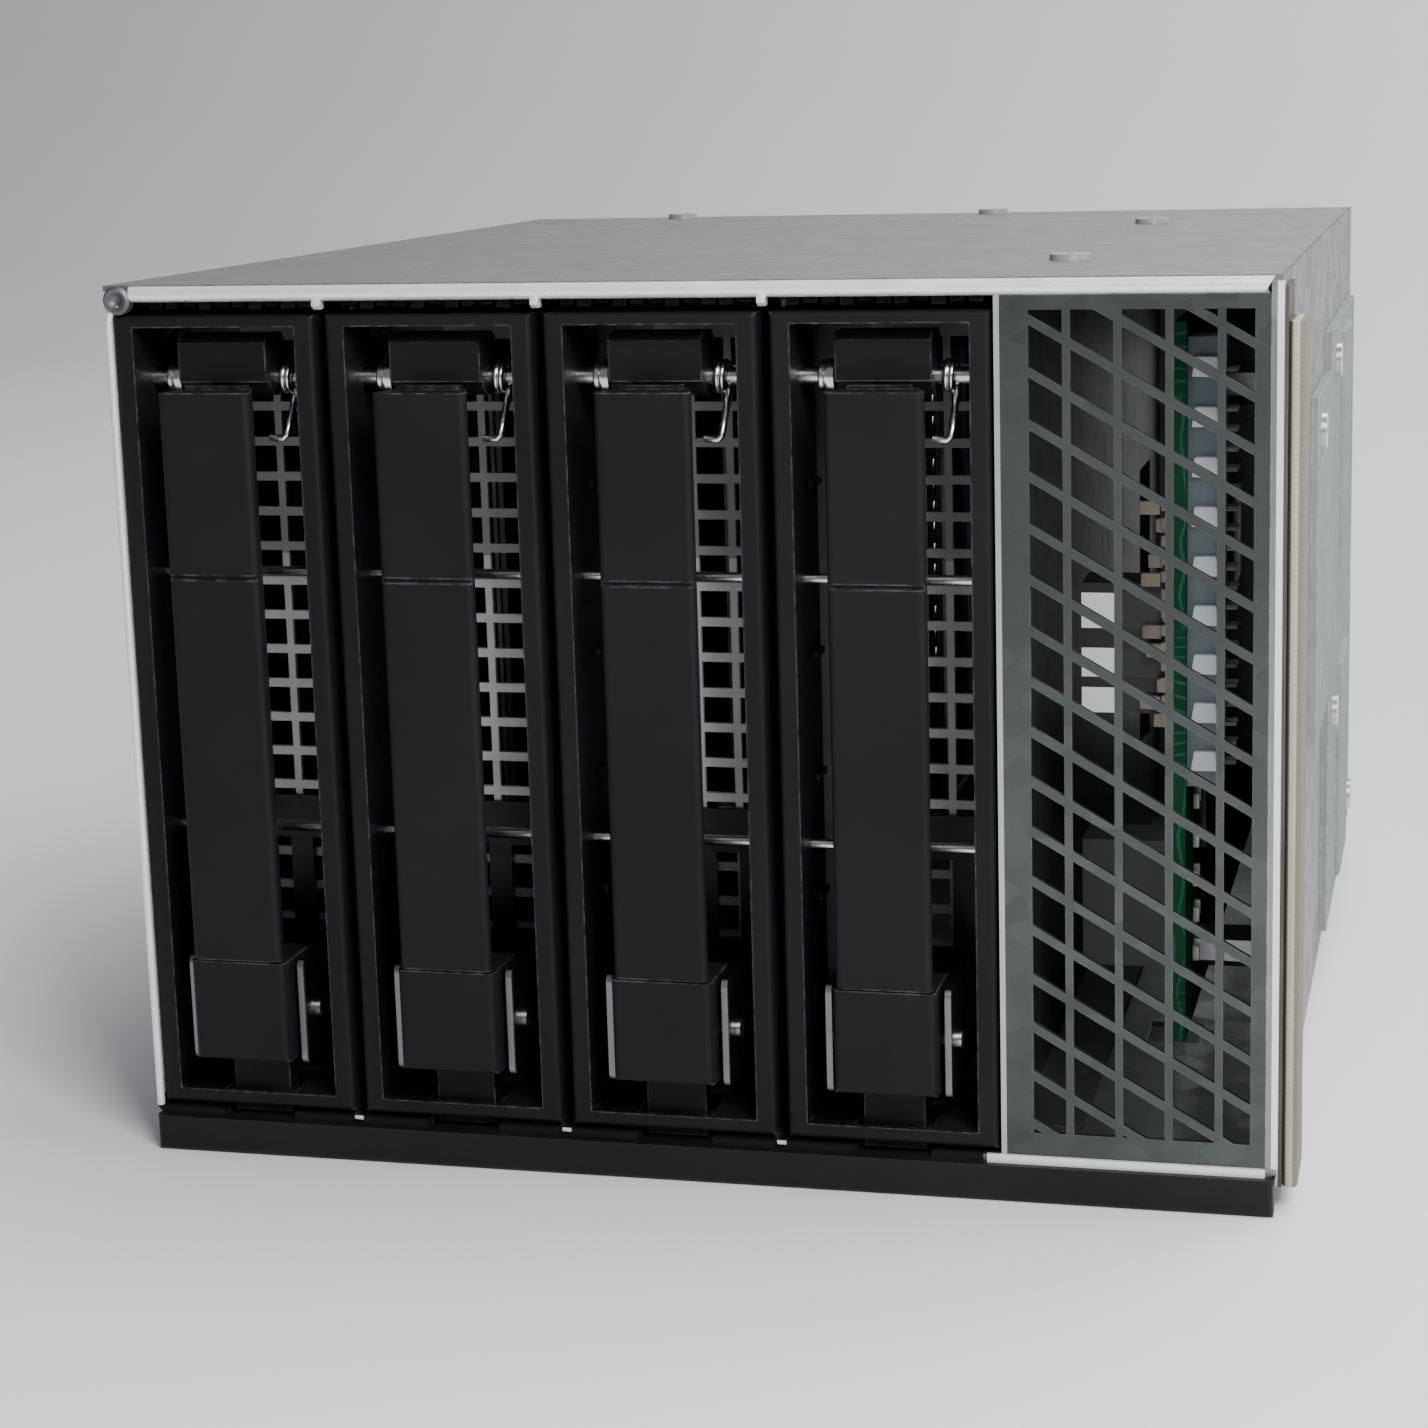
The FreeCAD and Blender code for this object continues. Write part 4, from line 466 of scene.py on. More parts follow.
FINISHES: tuple[Finish, ...] = (
    Finish("galvanised", Pattern.SPANGLE, (0.42, 0.45, 0.45), (0.28, 0.305, 0.305), (0.86, 0.87, 0.87),
           metallic=0.9, roughness=0.38, patch_size=30.0, wear=0.55),
    Finish("black_steel", Pattern.GRAIN, (0.006, 0.0068, 0.0076), (0.011, 0.0125, 0.014), (0.07, 0.075, 0.08),
           roughness=0.46, spread=0.14, grain=0.35, bump=0.12, patch_size=22.0, wear=0.45, wear_radius=0.2,
           specular=0.2),
    Finish("bracket_steel", Pattern.SPANGLE, (0.5, 0.53, 0.53), (0.36, 0.39, 0.39), (0.9, 0.9, 0.9),
           metallic=0.9, roughness=0.34, spread=0.14, bump=0.08, patch_size=26.0, patch_share=0.45, wear=0.5),
    Finish("bright_steel", Pattern.ROLLED, (0.8, 0.8, 0.79), (0.62, 0.61, 0.58), (0.95, 0.95, 0.94),
           metallic=1.0, roughness=0.22, spread=0.14, grain=0.4, bump=0.08, patch_size=9.0, wear_radius=0.15),
    Finish("screen_steel", Pattern.ROLLED, (0.8, 0.79, 0.74), (0.58, 0.57, 0.53), (0.9, 0.88, 0.82),
           metallic=0.45, roughness=0.36, spread=0.18, patch_share=0.6, wear=0.7, wear_radius=0.22),
    Finish("black_plastic", Pattern.GRAIN, (0.0068, 0.0076, 0.0085), (0.0115, 0.0128, 0.0142), (0.16, 0.17, 0.18),
           roughness=0.5, grain=0.28, bump=0.2, patch_size=34.0, patch_share=0.6, wear=0.75, wear_radius=0.42,
           specular=0.14),
    Finish("gasket_fabric", Pattern.WEAVE, (0.42, 0.405, 0.315), (0.33, 0.31, 0.235), (0.6, 0.58, 0.5),
           metallic=0.1, roughness=0.7, grain=0.7, bump=0.5, wear=0.3),
    Finish("tape", Pattern.GRAIN, (0.05, 0.04, 0.032), (0.1, 0.08, 0.06), (0.16, 0.13, 0.1),
           roughness=0.6, spread=0.2, grain=0.6, bump=0.2, patch_size=10.0, wear=0.3, wear_radius=0.2),
    Finish("board", Pattern.BOARD, (0.012, 0.085, 0.042), (0.008, 0.055, 0.03), (0.05, 0.22, 0.11),
           roughness=0.34, spread=0.1, bump=0.15, patch_size=18.0, patch_share=0.6, coat=0.3),
    Finish("connector_black", Pattern.GRAIN, (0.014, 0.014, 0.016), (0.024, 0.024, 0.027), (0.08, 0.08, 0.085),
           spread=0.14, grain=0.3, bump=0.15, patch_size=8.0, wear_radius=0.15),
    Finish("connector_white", Pattern.GRAIN, (0.74, 0.78, 0.8), (0.58, 0.62, 0.64), (0.9, 0.92, 0.92),
           roughness=0.42, grain=0.4, bump=0.12, patch_size=9.0, wear_radius=0.15, coat=0.1),
    Finish("steel_plain", Pattern.ROLLED, (0.46, 0.47, 0.48), (0.34, 0.35, 0.36), (0.8, 0.8, 0.8),
           metallic=0.95, roughness=0.36, bump=0.08, patch_size=20.0, wear=0.5, wear_radius=0.25),
)

BAY_MIDDLES = tuple(FIRST_BAY_MIDDLE + BAY_PITCH * (bay - 1) for bay in BAYS)
# Near-white colour that paints highlights on front edges and borders where the light catches them.
PAINTED_HIGHLIGHT: Colour = (0.92, 0.93, 0.93)
BLACKENED: Colour = (0.012, 0.013, 0.014)
PLAIN = {finish.slot: finish for finish in FINISHES}

# Finishes of single CAD nodes. A carrier's node goes by its name without the carrier.
VARIANTS: dict[str, Finish] = {
    "pan_head_screws": replace(
        PLAIN["bright_steel"], name="screw_steel", accents=(Accent((0.36, 0.37, 0.37), 0.2, z=above(116.4)),)
    ),
    "top_cover": replace(
        PLAIN["galvanised"], name="cover_zinc", base=(0.27, 0.285, 0.28), patch=(0.225, 0.24, 0.235),
        # Painted shadow: a dark strip along the cover's right edge where it meets the wall.
        accents=(Accent((0.09, 0.095, 0.095), 0.7, x=above(75.05), y=above(1.5)),),
    ),
    "emi_gasket": replace(
        PLAIN["gasket_fabric"], name="gasket_bead",
        accents=(
            # Painted shade: darker brown strips down both rounded sides of the bead, leaving its middle pale.
            Accent((0.11, 0.095, 0.07), 0.1, x=below(76.45)),
            Accent((0.15, 0.135, 0.1), 0.1, 0.9, x=above(77.3)),
        ),
    ),
    "base_pan": replace(
        PLAIN["galvanised"], name="pan_zinc", base=(0.29, 0.315, 0.305), patch=(0.225, 0.245, 0.235), specular=0.04,
        accents=(
            Accent(BLACKENED, 0.0, x=below(38.4), y=below(1.4), z=below(7.4)),
            # Painted highlights on the front edges of the right and left walls.
            Accent(PAINTED_HIGHLIGHT, 0.45, x=above(74.7), y=below(1.2), z=above(6.0)),
            Accent(PAINTED_HIGHLIGHT, 0.45, x=below(-74.6), y=below(1.2), z=above(7.4)),
            # Painted shade on the right wall's outer face beside and behind the gasket.
            Accent((0.15, 0.163, 0.158), 0.1, 0.9, x=above(75.3), y=above(1.4)),
            # Painted shade along the right wall's inner side, inside the compartment behind the vent.
            Accent((0.1, 0.108, 0.106), 0.6, 0.85, x=(73.0, 75.1), y=above(6.0)),
        ),
    ),
    # Painted shade: the vent's zinc darkened as its faces look in shade; painted highlights on the foremost face and,
    # at half strength, on the left border.
    "vent_panel": replace(
        PLAIN["galvanised"], name="vent_zinc", base=(0.095, 0.105, 0.101), patch=(0.055, 0.062, 0.059),
        worn=(0.4, 0.43, 0.42), wear=0.3,
        accents=(
            Accent(PAINTED_HIGHLIGHT, 0.4, y=below(-0.05)),
            Accent(PAINTED_HIGHLIGHT, 0.6, 0.5, x=below(41.5), y=below(1.2), z=above(6.0)),
        ),
    ),
    # Painted shade: the partition's zinc darkened deep inside the compartment behind the vent.
    "partition_wall": replace(
        PLAIN["galvanised"], name="wall_zinc", pattern=Pattern.GRAIN, base=(0.062, 0.064, 0.062),
        patch=(0.032, 0.034, 0.033), patch_size=9.0, metallic=0.6, roughness=0.55, wear=0.25,
    ),
    "hinge_bracket": replace(
        PLAIN["bright_steel"], name="blackened_bracket", base=(0.05, 0.05, 0.05), patch=(0.03, 0.03, 0.03),
        worn=(0.5, 0.49, 0.46), wear=0.3, roughness=0.4,
        accents=(Accent((0.3, 0.295, 0.28), 0.9, 0.75, y=below(-0.95)),),
    ),
    "tray": replace(PLAIN["steel_plain"], name="tray_steel", base=(0.27, 0.275, 0.28), patch=(0.16, 0.165, 0.17)),
    # Painted shade: the screen darkened below 44 mm, above 79 mm, across the fourth bay and in a strip at the left of
    # each bay, so that only a lit band stays pale.
    "screen": replace(
        PLAIN["screen_steel"], name="punched_screen",
        accents=(
            Accent((0.1, 0.095, 0.085), 0.6, 0.8, z=below(44.0)),
            Accent((0.26, 0.255, 0.24), 0.6, 0.7, z=above(79.0)),
            Accent((0.16, 0.16, 0.155), 0.6, 0.5, x=above(12.0)),
            *(Accent((0.11, 0.105, 0.095), 0.6, 0.8, x=(middle - 14.0, middle - 5.0)) for middle in BAY_MIDDLES),
        ),
    ),
    "side_board": replace(PLAIN["board"], name="shaded_board", roughness=0.7, coat=0.0, specular=0.06),
    # Painted shade: the bracket's zinc toned darker inside the compartment behind the vent.
    "side_bracket": replace(
        PLAIN["bracket_steel"], name="matt_bracket", base=(0.27, 0.295, 0.295), patch=(0.19, 0.21, 0.21),
        metallic=0.2, roughness=0.7, wear=0.8, specular=0.04,
    ),
    "side_board_power": replace(
        PLAIN["connector_white"], name="power_block", base=(0.93, 0.95, 0.96), patch=(0.82, 0.84, 0.86),
        accents=(
            Accent((0.03, 0.028, 0.026), 0.0, x=above(53.2)),
            *(Accent(BLACKENED, 0.0, z=gap) for gap in (below(48.0), (62.8, 64.2), (68.0, 70.6), above(75.2))),
        ),
    ),
    "side_board_header": replace(
        PLAIN["connector_white"], name="header_grey", base=(0.17, 0.21, 0.24), patch=(0.1, 0.13, 0.15)
    ),
}

# Finishes that only added pieces have.
EXTRA = (
    # Painted highlight: a near-white copy of the zinc for the rolled hem, the catch tabs and the left rolled edge,
    # where the light catches them.
    replace(PLAIN["galvanised"], name="rolled_hem", base=(0.93, 0.94, 0.94), patch=(0.82, 0.84, 0.85),
            metallic=0.45, roughness=0.34),
    replace(PLAIN["steel_plain"], name="dull_fingers", base=(0.1, 0.105, 0.105), patch=(0.04, 0.042, 0.042),
            roughness=0.5),
    replace(PLAIN["galvanised"], name="dull_zinc", base=(0.19, 0.195, 0.2), patch=(0.1, 0.105, 0.11),
            roughness=0.55),
    replace(PLAIN["connector_white"], name="key_white", base=(0.92, 0.97, 1.0), patch=(0.82, 0.88, 0.92)),
    replace(PLAIN["connector_white"], name="brown_ceramic", base=(0.24, 0.2, 0.155), patch=(0.12, 0.1, 0.08)),
)
LOOKS = {**PLAIN, **{finish.name: finish for finish in EXTRA}, **VARIANTS}


@dataclass
class Palette:
    """The built materials, by finish name."""

    materials: dict[str, bpy.types.Material] = field(default_factory=dict)

    def build(self) -> None:
        """Make every material."""
        self.materials = {key: finish.material() for key, finish in LOOKS.items()}

    def dress(self, nodes: dict[str, Piece], record: dict[str, Any]) -> None:
        """Give each CAD node its own variant, or the plain finish of its slot.

        Args:
            nodes: CAD objects by node name.
            record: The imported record.
        """
        slots = {row["node"]: row["material_slot"] for row in record["subparts"]}
        for name, item in nodes.items():
            kind = name.split("_", 2)[2] if name.startswith("carrier_") else name
            made = self.materials[kind if kind in VARIANTS else slots[name]]
            for holder in item.material_slots:
                holder.material = made


# --- meshes


class Form:
    """Collects mesh parts in millimetres and turns them into one object."""

    STRAIGHT = 1e-4
    TURN_STEPS = 24

    def __init__(self, name: str) -> None:
        """Start an empty mesh.

        Args:
            name: Name of the piece.
        """
        self.name = name
        self.mesh = bmesh.new()

    def _skin(self, rings: list[list[bmesh.types.BMVert]]) -> list[bmesh.types.BMFace]:
        """Join rings of vertices by faces and cap both ends.

        Args:
            rings: Rings of equal length, in order.

        Returns:
            The faces.
        """
        faces = [self.mesh.faces.new(rings[0]), self.mesh.faces.new(rings[-1])]
        count = len(rings[0])
        for first, second in zip(rings, rings[1:]):
            for turn in range(count):
                after = (turn + 1) % count
                faces.append(self.mesh.faces.new((first[turn], first[after], second[after], second[turn])))
        bmesh.ops.recalc_face_normals(self.mesh, faces=faces)
        return faces

    def prism(self, outline: Sequence[Point], axis: str, low: float, high: float, chamfer: float = 0.0) -> None:
        """A block with the given outline, drawn out along an axis.

        Args:
            outline: Points in the two other axes, in X, Y, Z order.
            axis: X, Y or Z.
            low: Start along the axis.
            high: End along the axis.
            chamfer: Bevel of all edges.
        """
        where = "XYZ".index(axis)
        rings = [
            [self.mesh.verts.new((*point[:where], level, *point[where:])) for point in outline]
            for level in (low, high)
        ]
        faces = self._skin(rings)
        if chamfer > 0.0:
            edges = list({edge for face in faces for edge in face.edges})
            bmesh.ops.bevel(
                self.mesh, geom=edges, offset=chamfer, offset_type="OFFSET", segments=2, profile=0.6, affect="EDGES"
            )

    def block(self, low: Point, high: Point, chamfer: float = 0.0) -> None:
        """A bevelled block between two corners.

        Args:
            low: Lowest corner.
            high: Highest corner.
            chamfer: Bevel of all edges.
        """
        outline = [(low[1], low[2]), (high[1], low[2]), (high[1], high[2]), (low[1], high[2])]
        self.prism(outline, "X", low[0], high[0], chamfer)

    def tube(self, path: Sequence[Point], radius: float, sides: int) -> None:
        """A round wire along a path.

        Args:
            path: Points of the centre line.
            radius: Wire radius.
            sides: Facets round the wire.
        """
        points = [Vector(point) for point in path]
        normal = Vector((0.0, 0.0, 1.0))
        rings = []
        for index, point in enumerate(points):
            ahead = points[min(index + 1, len(points) - 1)] - points[max(index - 1, 0)]
            ahead.normalize()
            normal = normal - ahead * normal.dot(ahead)
            if normal.length < self.STRAIGHT:
                normal = Vector((1.0, 0.0, 0.0)) - ahead * ahead.x
            normal.normalize()
            side = ahead.cross(normal)
            ring = []
            for turn in range(sides):
                angle = math.tau * turn / sides
                spot = point + normal * (radius * math.cos(angle)) + side * (radius * math.sin(angle))
                ring.append(self.mesh.verts.new(spot))
            rings.append(ring)
        self._skin(rings)

    def turned(self, profile: Sequence[tuple[float, float]], centre: Point, axis: str) -> None:
        """A solid of revolution.

        Args:
            profile: Radius and distance along the axis, from end to end.
            centre: Point on the axis.
            axis: X, Y or Z.
        """
        where = "XYZ".index(axis)
        rings = []
        for radius, level in profile:
            ring = []
            for turn in range(self.TURN_STEPS):
                angle = math.tau * turn / self.TURN_STEPS
                spot = [radius * math.cos(angle), radius * math.sin(angle)]
                spot.insert(where, level)
                ring.append(self.mesh.verts.new(Vector(spot) + Vector(centre)))
            rings.append(ring)
        self._skin(rings)


@dataclass(frozen=True)
class Box:
    """A CAD node's box in millimetres."""

    low: Vector
    high: Vector

    @classmethod
    def of(cls, node: str) -> "Box":
        """Read a node's box.

        Args:
            node: CAD node name.

        Returns:
            Its box.
        """
        low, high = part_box(node)
        return cls(low / MM, high / MM)

    @property
    def middle(self) -> Vector:
        """The box's centre."""
        return (self.low + self.high) / 2.0


def soften(nodes: dict[str, Piece], names: Iterable[str], width: float) -> None:
    """Round the sharp edges of CAD nodes by a modifier, which leaves their meshes as they are.

    Args:
        nodes: CAD objects by node name.
        names: Nodes to soften.
        width: Width of the rounding in millimetres.
    """
    for name in names:
        rounding = nodes[name].modifiers.new("soft_edges", "BEVEL")
        rounding.width = width * MM
        rounding.segments = 2
        rounding.limit_method = "ANGLE"
        rounding.angle_limit = math.radians(50.0)
        rounding.harden_normals = False


# --- sub-assemblies


@dataclass
class Details:
    """The detail pieces of one sub-assembly, which move with one CAD body."""

    palette: Palette
    body: str = "cage"

    SMOOTH_BELOW = math.radians(34.0)

    def dressed(self, form: Form, look: str) -> Piece:
        """Turn a form into a piece, dress it and tie it to the body.

        Args:
            form: The collected mesh.
            look: Name of the finish.

        Returns:
            The piece.
        """
        mesh = form.mesh
        bmesh.ops.scale(mesh, vec=(MM, MM, MM), verts=mesh.verts)
        for edge in mesh.edges:
            edge.smooth = edge.calc_face_angle(math.pi) < self.SMOOTH_BELOW
        for face in mesh.faces:
            face.smooth = True
        data = bpy.data.meshes.new(form.name)
        mesh.to_mesh(data)
        mesh.free()
        data.materials.append(self.palette.materials[look])
        item = bpy.data.objects.new(form.name, data)
        bpy.context.scene.collection.objects.link(item)
        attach(item, self.body)
        return item


@dataclass
class CageDetails(Details):
    """Small sheet metal details round the bays, and the gasket."""

    finger_pitch: float = 2.3
    finger_width: float = 1.7
    finger_gap: float = 0.35
    floor_tab_width: float = 1.3
    catch_tab_width: float = 1.1
    hem_radius: float = 1.1
    hem_mitre: float = 0.6
    corner_radius: float = 1.95
    bead_top_gap: float = 4.2
    bead_steps: int = 10
    edge_radius: float = 0.52
    edge_foot: float = 6.0
    edge_head: float = 4.6
    edge_steps: int = 11

    def build(self) -> list[Piece]:
        """Make the pieces in order."""
        return [
            self._fingers(), self._floor_tabs(), self._catch_tabs(), self._rolled_edge(), self._rolled_hem(),
            self._corner(), self._gasket_bead(),
        ]

    def _fingers(self) -> Piece:
        """Contact fingers that hang from the cover above the bezels."""
        form = Form("contact_fingers")
        roof = Box.of("base_pan").high.z
        for bay in BAYS:
            frame = Box.of(f"carrier_{bay}_bezel")
            count = int((frame.high.x - frame.low.x - 2.0) // self.finger_pitch)
            start = frame.middle.x - (count - 1) * self.finger_pitch / 2.0
            floor = frame.high.z + self.finger_gap
            for finger in range(count):
                middle = start + finger * self.finger_pitch
                sag = floor + 0.25 * math.sin(finger * 2.4 + bay)
                leaf = [
                    (5.6, roof), (4.2, roof - 0.5), (3.3, sag + 0.5), (3.7, sag + 0.1), (4.5, sag + 0.55),
                    (4.3, sag + 0.75), (3.75, sag + 0.35), (4.45, roof - 0.75), (5.6, roof - 0.25),
                ]
                form.prism(leaf, "X", middle - self.finger_width / 2.0, middle + self.finger_width / 2.0)
            form.block((frame.low.x + 0.6, 5.2, roof - 0.3), (frame.high.x - 0.6, 8.6, roof), 0.08)
        return self.dressed(form, "dull_fingers")

    def _floor_tabs(self) -> Piece:
        """Small bright tabs on the floor's front edge between the bays."""
        form = Form("floor_tabs")
        floor = Box.of("front_lip").high.z
        half = self.floor_tab_width / 2.0
        for gap in BAYS[:-1]:
            middle = Box.of(f"bay_divider_{gap}").middle.x
            form.block((middle - half, -0.5, floor - 0.2), (middle + half, 3.4, floor + 0.55), 0.18)
        return self.dressed(form, "bright_steel")

    def _catch_tabs(self) -> Piece:
        """Bent tabs that hook the dividers over the cover's front edge."""
        form = Form("catch_tabs")
        base = Box.of("top_cover").high.z - 2.5
        half = self.catch_tab_width / 2.0
        hook = [(-0.7, base - 0.35), (0.1, base - 0.85), (1.2, base - 0.75), (1.2, base + 0.5), (-0.5, base + 0.7)]
        for gap in BAYS[:-1]:
            middle = Box.of(f"bay_divider_{gap}").middle.x
            form.prism(hook, "X", middle - half, middle + half, 0.22)
        # The rolled_hem finish paints a highlight.
        return self.dressed(form, "rolled_hem")

    def _rolled_hem(self) -> Piece:
        """Half-round hem along the cover's front edge, mitred at its right end."""
        form = Form("cover_rolled_hem")
        pan = Box.of("base_pan")
        top = Box.of("top_cover").high.z
        depth, height = 0.55, top - 1.12
        outline = [
            (depth - self.hem_radius * math.cos(turn), height + self.hem_radius * math.sin(turn))
            for turn in (-1.45, -1.1, -0.75, -0.4, 0.0, 0.4, 0.75, 1.1, 1.45)
        ]
        outline += [(2.2, top - 0.03), (2.2, top - 2.1)]
        form.prism(outline, "X", pan.low.x + 3.7, pan.high.x - 1.0)
        for vertex in form.mesh.verts:
            if vertex.co.x > 0.0:
                vertex.co.x -= max(0.0, top - vertex.co.z) * self.hem_mitre
        # The rolled_hem finish paints a highlight.
        return self.dressed(form, "rolled_hem")

    def _corner(self) -> Piece:
        """Rounded corner where the cover's hem meets the left wall, dished in its middle."""
        form = Form("hem_corner")
        profile = [
            (0.5, 1.6), (1.4, 1.55), (1.85, 1.2), (1.95, 0.3), (1.85, -0.35), (1.5, -0.7), (1.05, -0.6), (0.75, -0.2),
            (0.3, 0.0),
        ]
        across = Box.of("base_pan").low.x + self.corner_radius
        form.turned(profile, (across, 0.0, Box.of("top_cover").high.z - self.corner_radius), "Y")
        return self.dressed(form, "dull_zinc")

    def _gasket_bead(self) -> Piece:
        """Soft gasket with rounded long edges, cut a little short of the wall's top."""
        form = Form("gasket_bead")
        solid = Box.of("emi_gasket")
        radius = (solid.high.x - solid.low.x) / 2.0
        outline = []
        for centre, start in ((solid.high.y - radius, 0.0), (solid.low.y + radius, math.pi)):
            for step in range(self.bead_steps + 1):
                angle = start + math.pi * step / self.bead_steps
                outline.append((solid.middle.x + radius * math.cos(angle), centre + radius * math.sin(angle)))
        form.prism(outline, "Z", solid.low.z, solid.high.z - self.bead_top_gap, 0.12)
        item = self.dressed(form, "emi_gasket")
        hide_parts("emi_gasket")
        return item

    def _rolled_edge(self) -> Piece:
        """Rolled front edge of the left wall, hooked over at the top."""
        form = Form("left_rolled_edge")
        pan = Box.of("base_pan")
        left = pan.low.x + self.edge_radius
        foot = pan.low.z + self.edge_foot
        bend = Box.of("top_cover").high.z - self.edge_head
        path = [(left, 0.0, foot + step * (bend - foot) / self.edge_steps) for step in range(self.edge_steps + 1)]
        path += [(left + 0.15, 0.0, bend + 0.7), (left + 0.6, 0.0, bend + 1.25), (left + 1.3, 0.05, bend + 1.5)]
        path += [(left + 2.3, 0.1, bend + 1.55)]
        form.tube(path, self.edge_radius, 10)
        # The rolled_hem finish paints a highlight.
        return self.dressed(form, "rolled_hem")


@dataclass
class BoardDetails(Details):
    """Parts soldered to the two circuit boards, the sockets' contacts and the slats of the airflow slots."""

    passive_rows: int = 16
    passive_pitch: float = 5.2
    brown_rows: int = 13
    brown_bottom: float = 58.0
    brown_pitch: float = 2.3
    key_pitch: float = 6.35
    key_height: float = 2.6
    pin_pitch: float = 2.54
    pin_half: float = 0.3
    contacts: int = 28
    contact_pitch: float = 1.38
    contact_gap: float = 2.3
    backplane_rows: int = 9
    backplane_pitch: float = 9.5
    air_slot_left: float = 3.5
    air_slot_width: float = 8.0
    air_slot_bottom: float = 34.0
    air_slot_height: float = 52.0
    slat_pitch: float = 3.9
    slat_depth: float = 3.2

    def build(self) -> list[Piece]:
        """Make the pieces in order."""
        return [
            self._side_chips(), self._side_passives(), self._brown_parts(), self._header_keys(), self._header_pins(),
            self._socket_contacts(), self._backplane_passives(), self._air_slats(),
        ]

    def _side_chips(self) -> Piece:
        """Black packages on both faces of the side board, as depth, height, width and tallness."""
        form = Form("side_board_chips")
        board = Box.of("side_board")
        right, left = board.high.x, board.low.x
        for depth, height, wide, tall in (
            (16.0, 84.0, 9.0, 9.0), (18.0, 62.0, 7.0, 11.0), (34.0, 72.0, 12.0, 12.0), (17.0, 38.0, 8.0, 8.0),
            (38.0, 44.0, 7.0, 10.0), (60.0, 66.0, 14.0, 14.0),
        ):
            near = board.low.y + depth
            form.block((right, near, height), (right + 1.2, near + wide, height + tall), 0.15)
        for depth, height, wide, tall in ((6.0, 48.0, 6.0, 5.0), (14.0, 90.0, 8.0, 8.0), (30.0, 50.0, 10.0, 10.0)):
            near = board.low.y + depth
            form.block((left - 1.1, near, height), (left, near + wide, height + tall), 0.15)
        return self.dressed(form, "connector_black")

    def _side_passives(self) -> Piece:
        """Small metal-ended parts in rows beside the headers."""
        form = Form("side_board_passives")
        board = Box.of("side_board")
        for row in range(self.passive_rows):
            height = board.low.z + 8.0 + row * self.passive_pitch
            shift = 1.3 * math.sin(row * 2.1)
            for side, face, depth in ((1.0, board.high.x, 10.5), (-1.0, board.low.x, 1.1)):
                near = board.low.y + depth + shift * 0.4
                ends = (face, face + side * 0.8)
                form.block((min(ends), near, height), (max(ends), near + 0.9, height + 2.0), 0.08)
                form.block((min(ends), near + 1.6, height + 0.6), (max(ends), near + 2.5, height + 2.6), 0.08)
        return self.dressed(form, "screen_steel")

    def _brown_parts(self) -> Piece:
        """Brown parts crowded along the side board's front edge."""
        form = Form("side_board_capacitors")
        board = Box.of("side_board")
        face, front = board.low.x, board.low.y
        for row in range(self.brown_rows):
            height = self.brown_bottom + row * self.brown_pitch
            reach = 2.6 + 1.8 * math.sin(row * 1.7)
            near = front + (0.5 + 0.45 * math.sin(row * 2.9))
            form.block((face - reach, near, height), (face - 0.4 * reach, near + 1.2, height + 1.7), 0.2)
            form.block((face - 1.6, front + 0.3, height + 0.5), (face, front + 1.3, height + 1.9), 0.15)
        return self.dressed(form, "brown_ceramic")

    def _header_keys(self) -> Piece:
        """Raised keys on the header's front face, evenly spaced upwards."""
        form = Form("header_keys")
        header = Box.of("side_board_header")
        left, right = header.low.x, header.high.x
        count = int((header.high.z - header.low.z - 2.0) // self.key_pitch)
        for key in range(count + 1):
            low = header.low.z + 2.2 + key * self.key_pitch
            high = low + self.key_height
            outline = [(left + 0.5, low), (right - 0.5, low), (right - 0.9, high), (left + 0.9, high)]
            form.prism(outline, "Y", header.low.y - 0.9, header.low.y + 0.2, 0.25)
        return self.dressed(form, "key_white")

    def _header_pins(self) -> Piece:
        """Two rows of pins along the long header."""
        form = Form("header_pins")
        header = Box.of("side_board_header")
        face = header.high.x
        rows = int((header.high.z - header.low.z - 4.0) // self.pin_pitch)
        for row in range(rows):
            height = header.low.z + 3.0 + row * self.pin_pitch
            for depth in (header.middle.y - self.pin_pitch / 2.0, header.middle.y + self.pin_pitch / 2.0):
                low = (face - 0.6, depth - self.pin_half, height - self.pin_half)
                form.block(low, (face + 1.6, depth + self.pin_half, height + self.pin_half), 0.12)
        return self.dressed(form, "dull_zinc")

    def _socket_contacts(self) -> Piece:
        """Spring contacts inside the drive sockets."""
        form = Form("socket_contacts")
        sockets = Box.of("drive_sockets")
        near = sockets.low.y
        for bay in BAYS:
            middle = Box.of(f"carrier_{bay}_bezel").middle.x - 8.0
            for pin in range(self.contacts):
                height = sockets.low.z + 3.4 + pin * self.contact_pitch
                for side in (-1.0, 1.0):
                    edge = middle + side * self.contact_gap / 2.0
                    leaf = [
                        (edge, near + 1.0), (edge - side * 0.35, near + 2.2), (edge - side * 0.1, near + 5.6),
                        (edge, near + 5.6),
                    ]
                    form.prism(leaf, "Z", height - self.pin_half, height + self.pin_half)
        return self.dressed(form, "bright_steel")

    def _backplane_passives(self) -> Piece:
        """Small parts on both faces of the backplane."""
        form = Form("backplane_passives")
        board = Box.of("backplane_board")
        front, back = board.low.y, board.high.y
        for bay in BAYS:
            middle = Box.of(f"carrier_{bay}_bezel").middle.x
            for row in range(self.backplane_rows):
                height = board.low.z + 9.0 + row * self.backplane_pitch
                across = middle - 1.5 + 1.1 * math.sin(row * 1.9 + bay)
                form.block((across, front - 0.8, height), (across + 1.0, front, height + 2.0), 0.08)
                form.block((across + 2.0, back, height + 3.0), (across + 4.0, back + 0.7, height + 4.0), 0.08)
        return self.dressed(form, "screen_steel")

    def _air_slats(self) -> Piece:
        """Sloping black slats across the backplane's airflow slots."""
        form = Form("backplane_air_slats")
        near = Box.of("backplane_board").low.y + 0.1
        far = near + self.slat_depth
        rise = self.slat_pitch + 0.4
        for bay in BAYS:
            left = Box.of(f"carrier_{bay}_bezel").middle.x + self.air_slot_left
            for row in range(int(self.air_slot_height / self.slat_pitch)):
                low = self.air_slot_bottom + row * self.slat_pitch
                outline = [(near, low), (far, low + rise), (far, low + rise + 0.4), (near, low + 0.5)]
                form.prism(outline, "X", left + 0.02, left + self.air_slot_width - 0.02)
        return self.dressed(form, "connector_black")


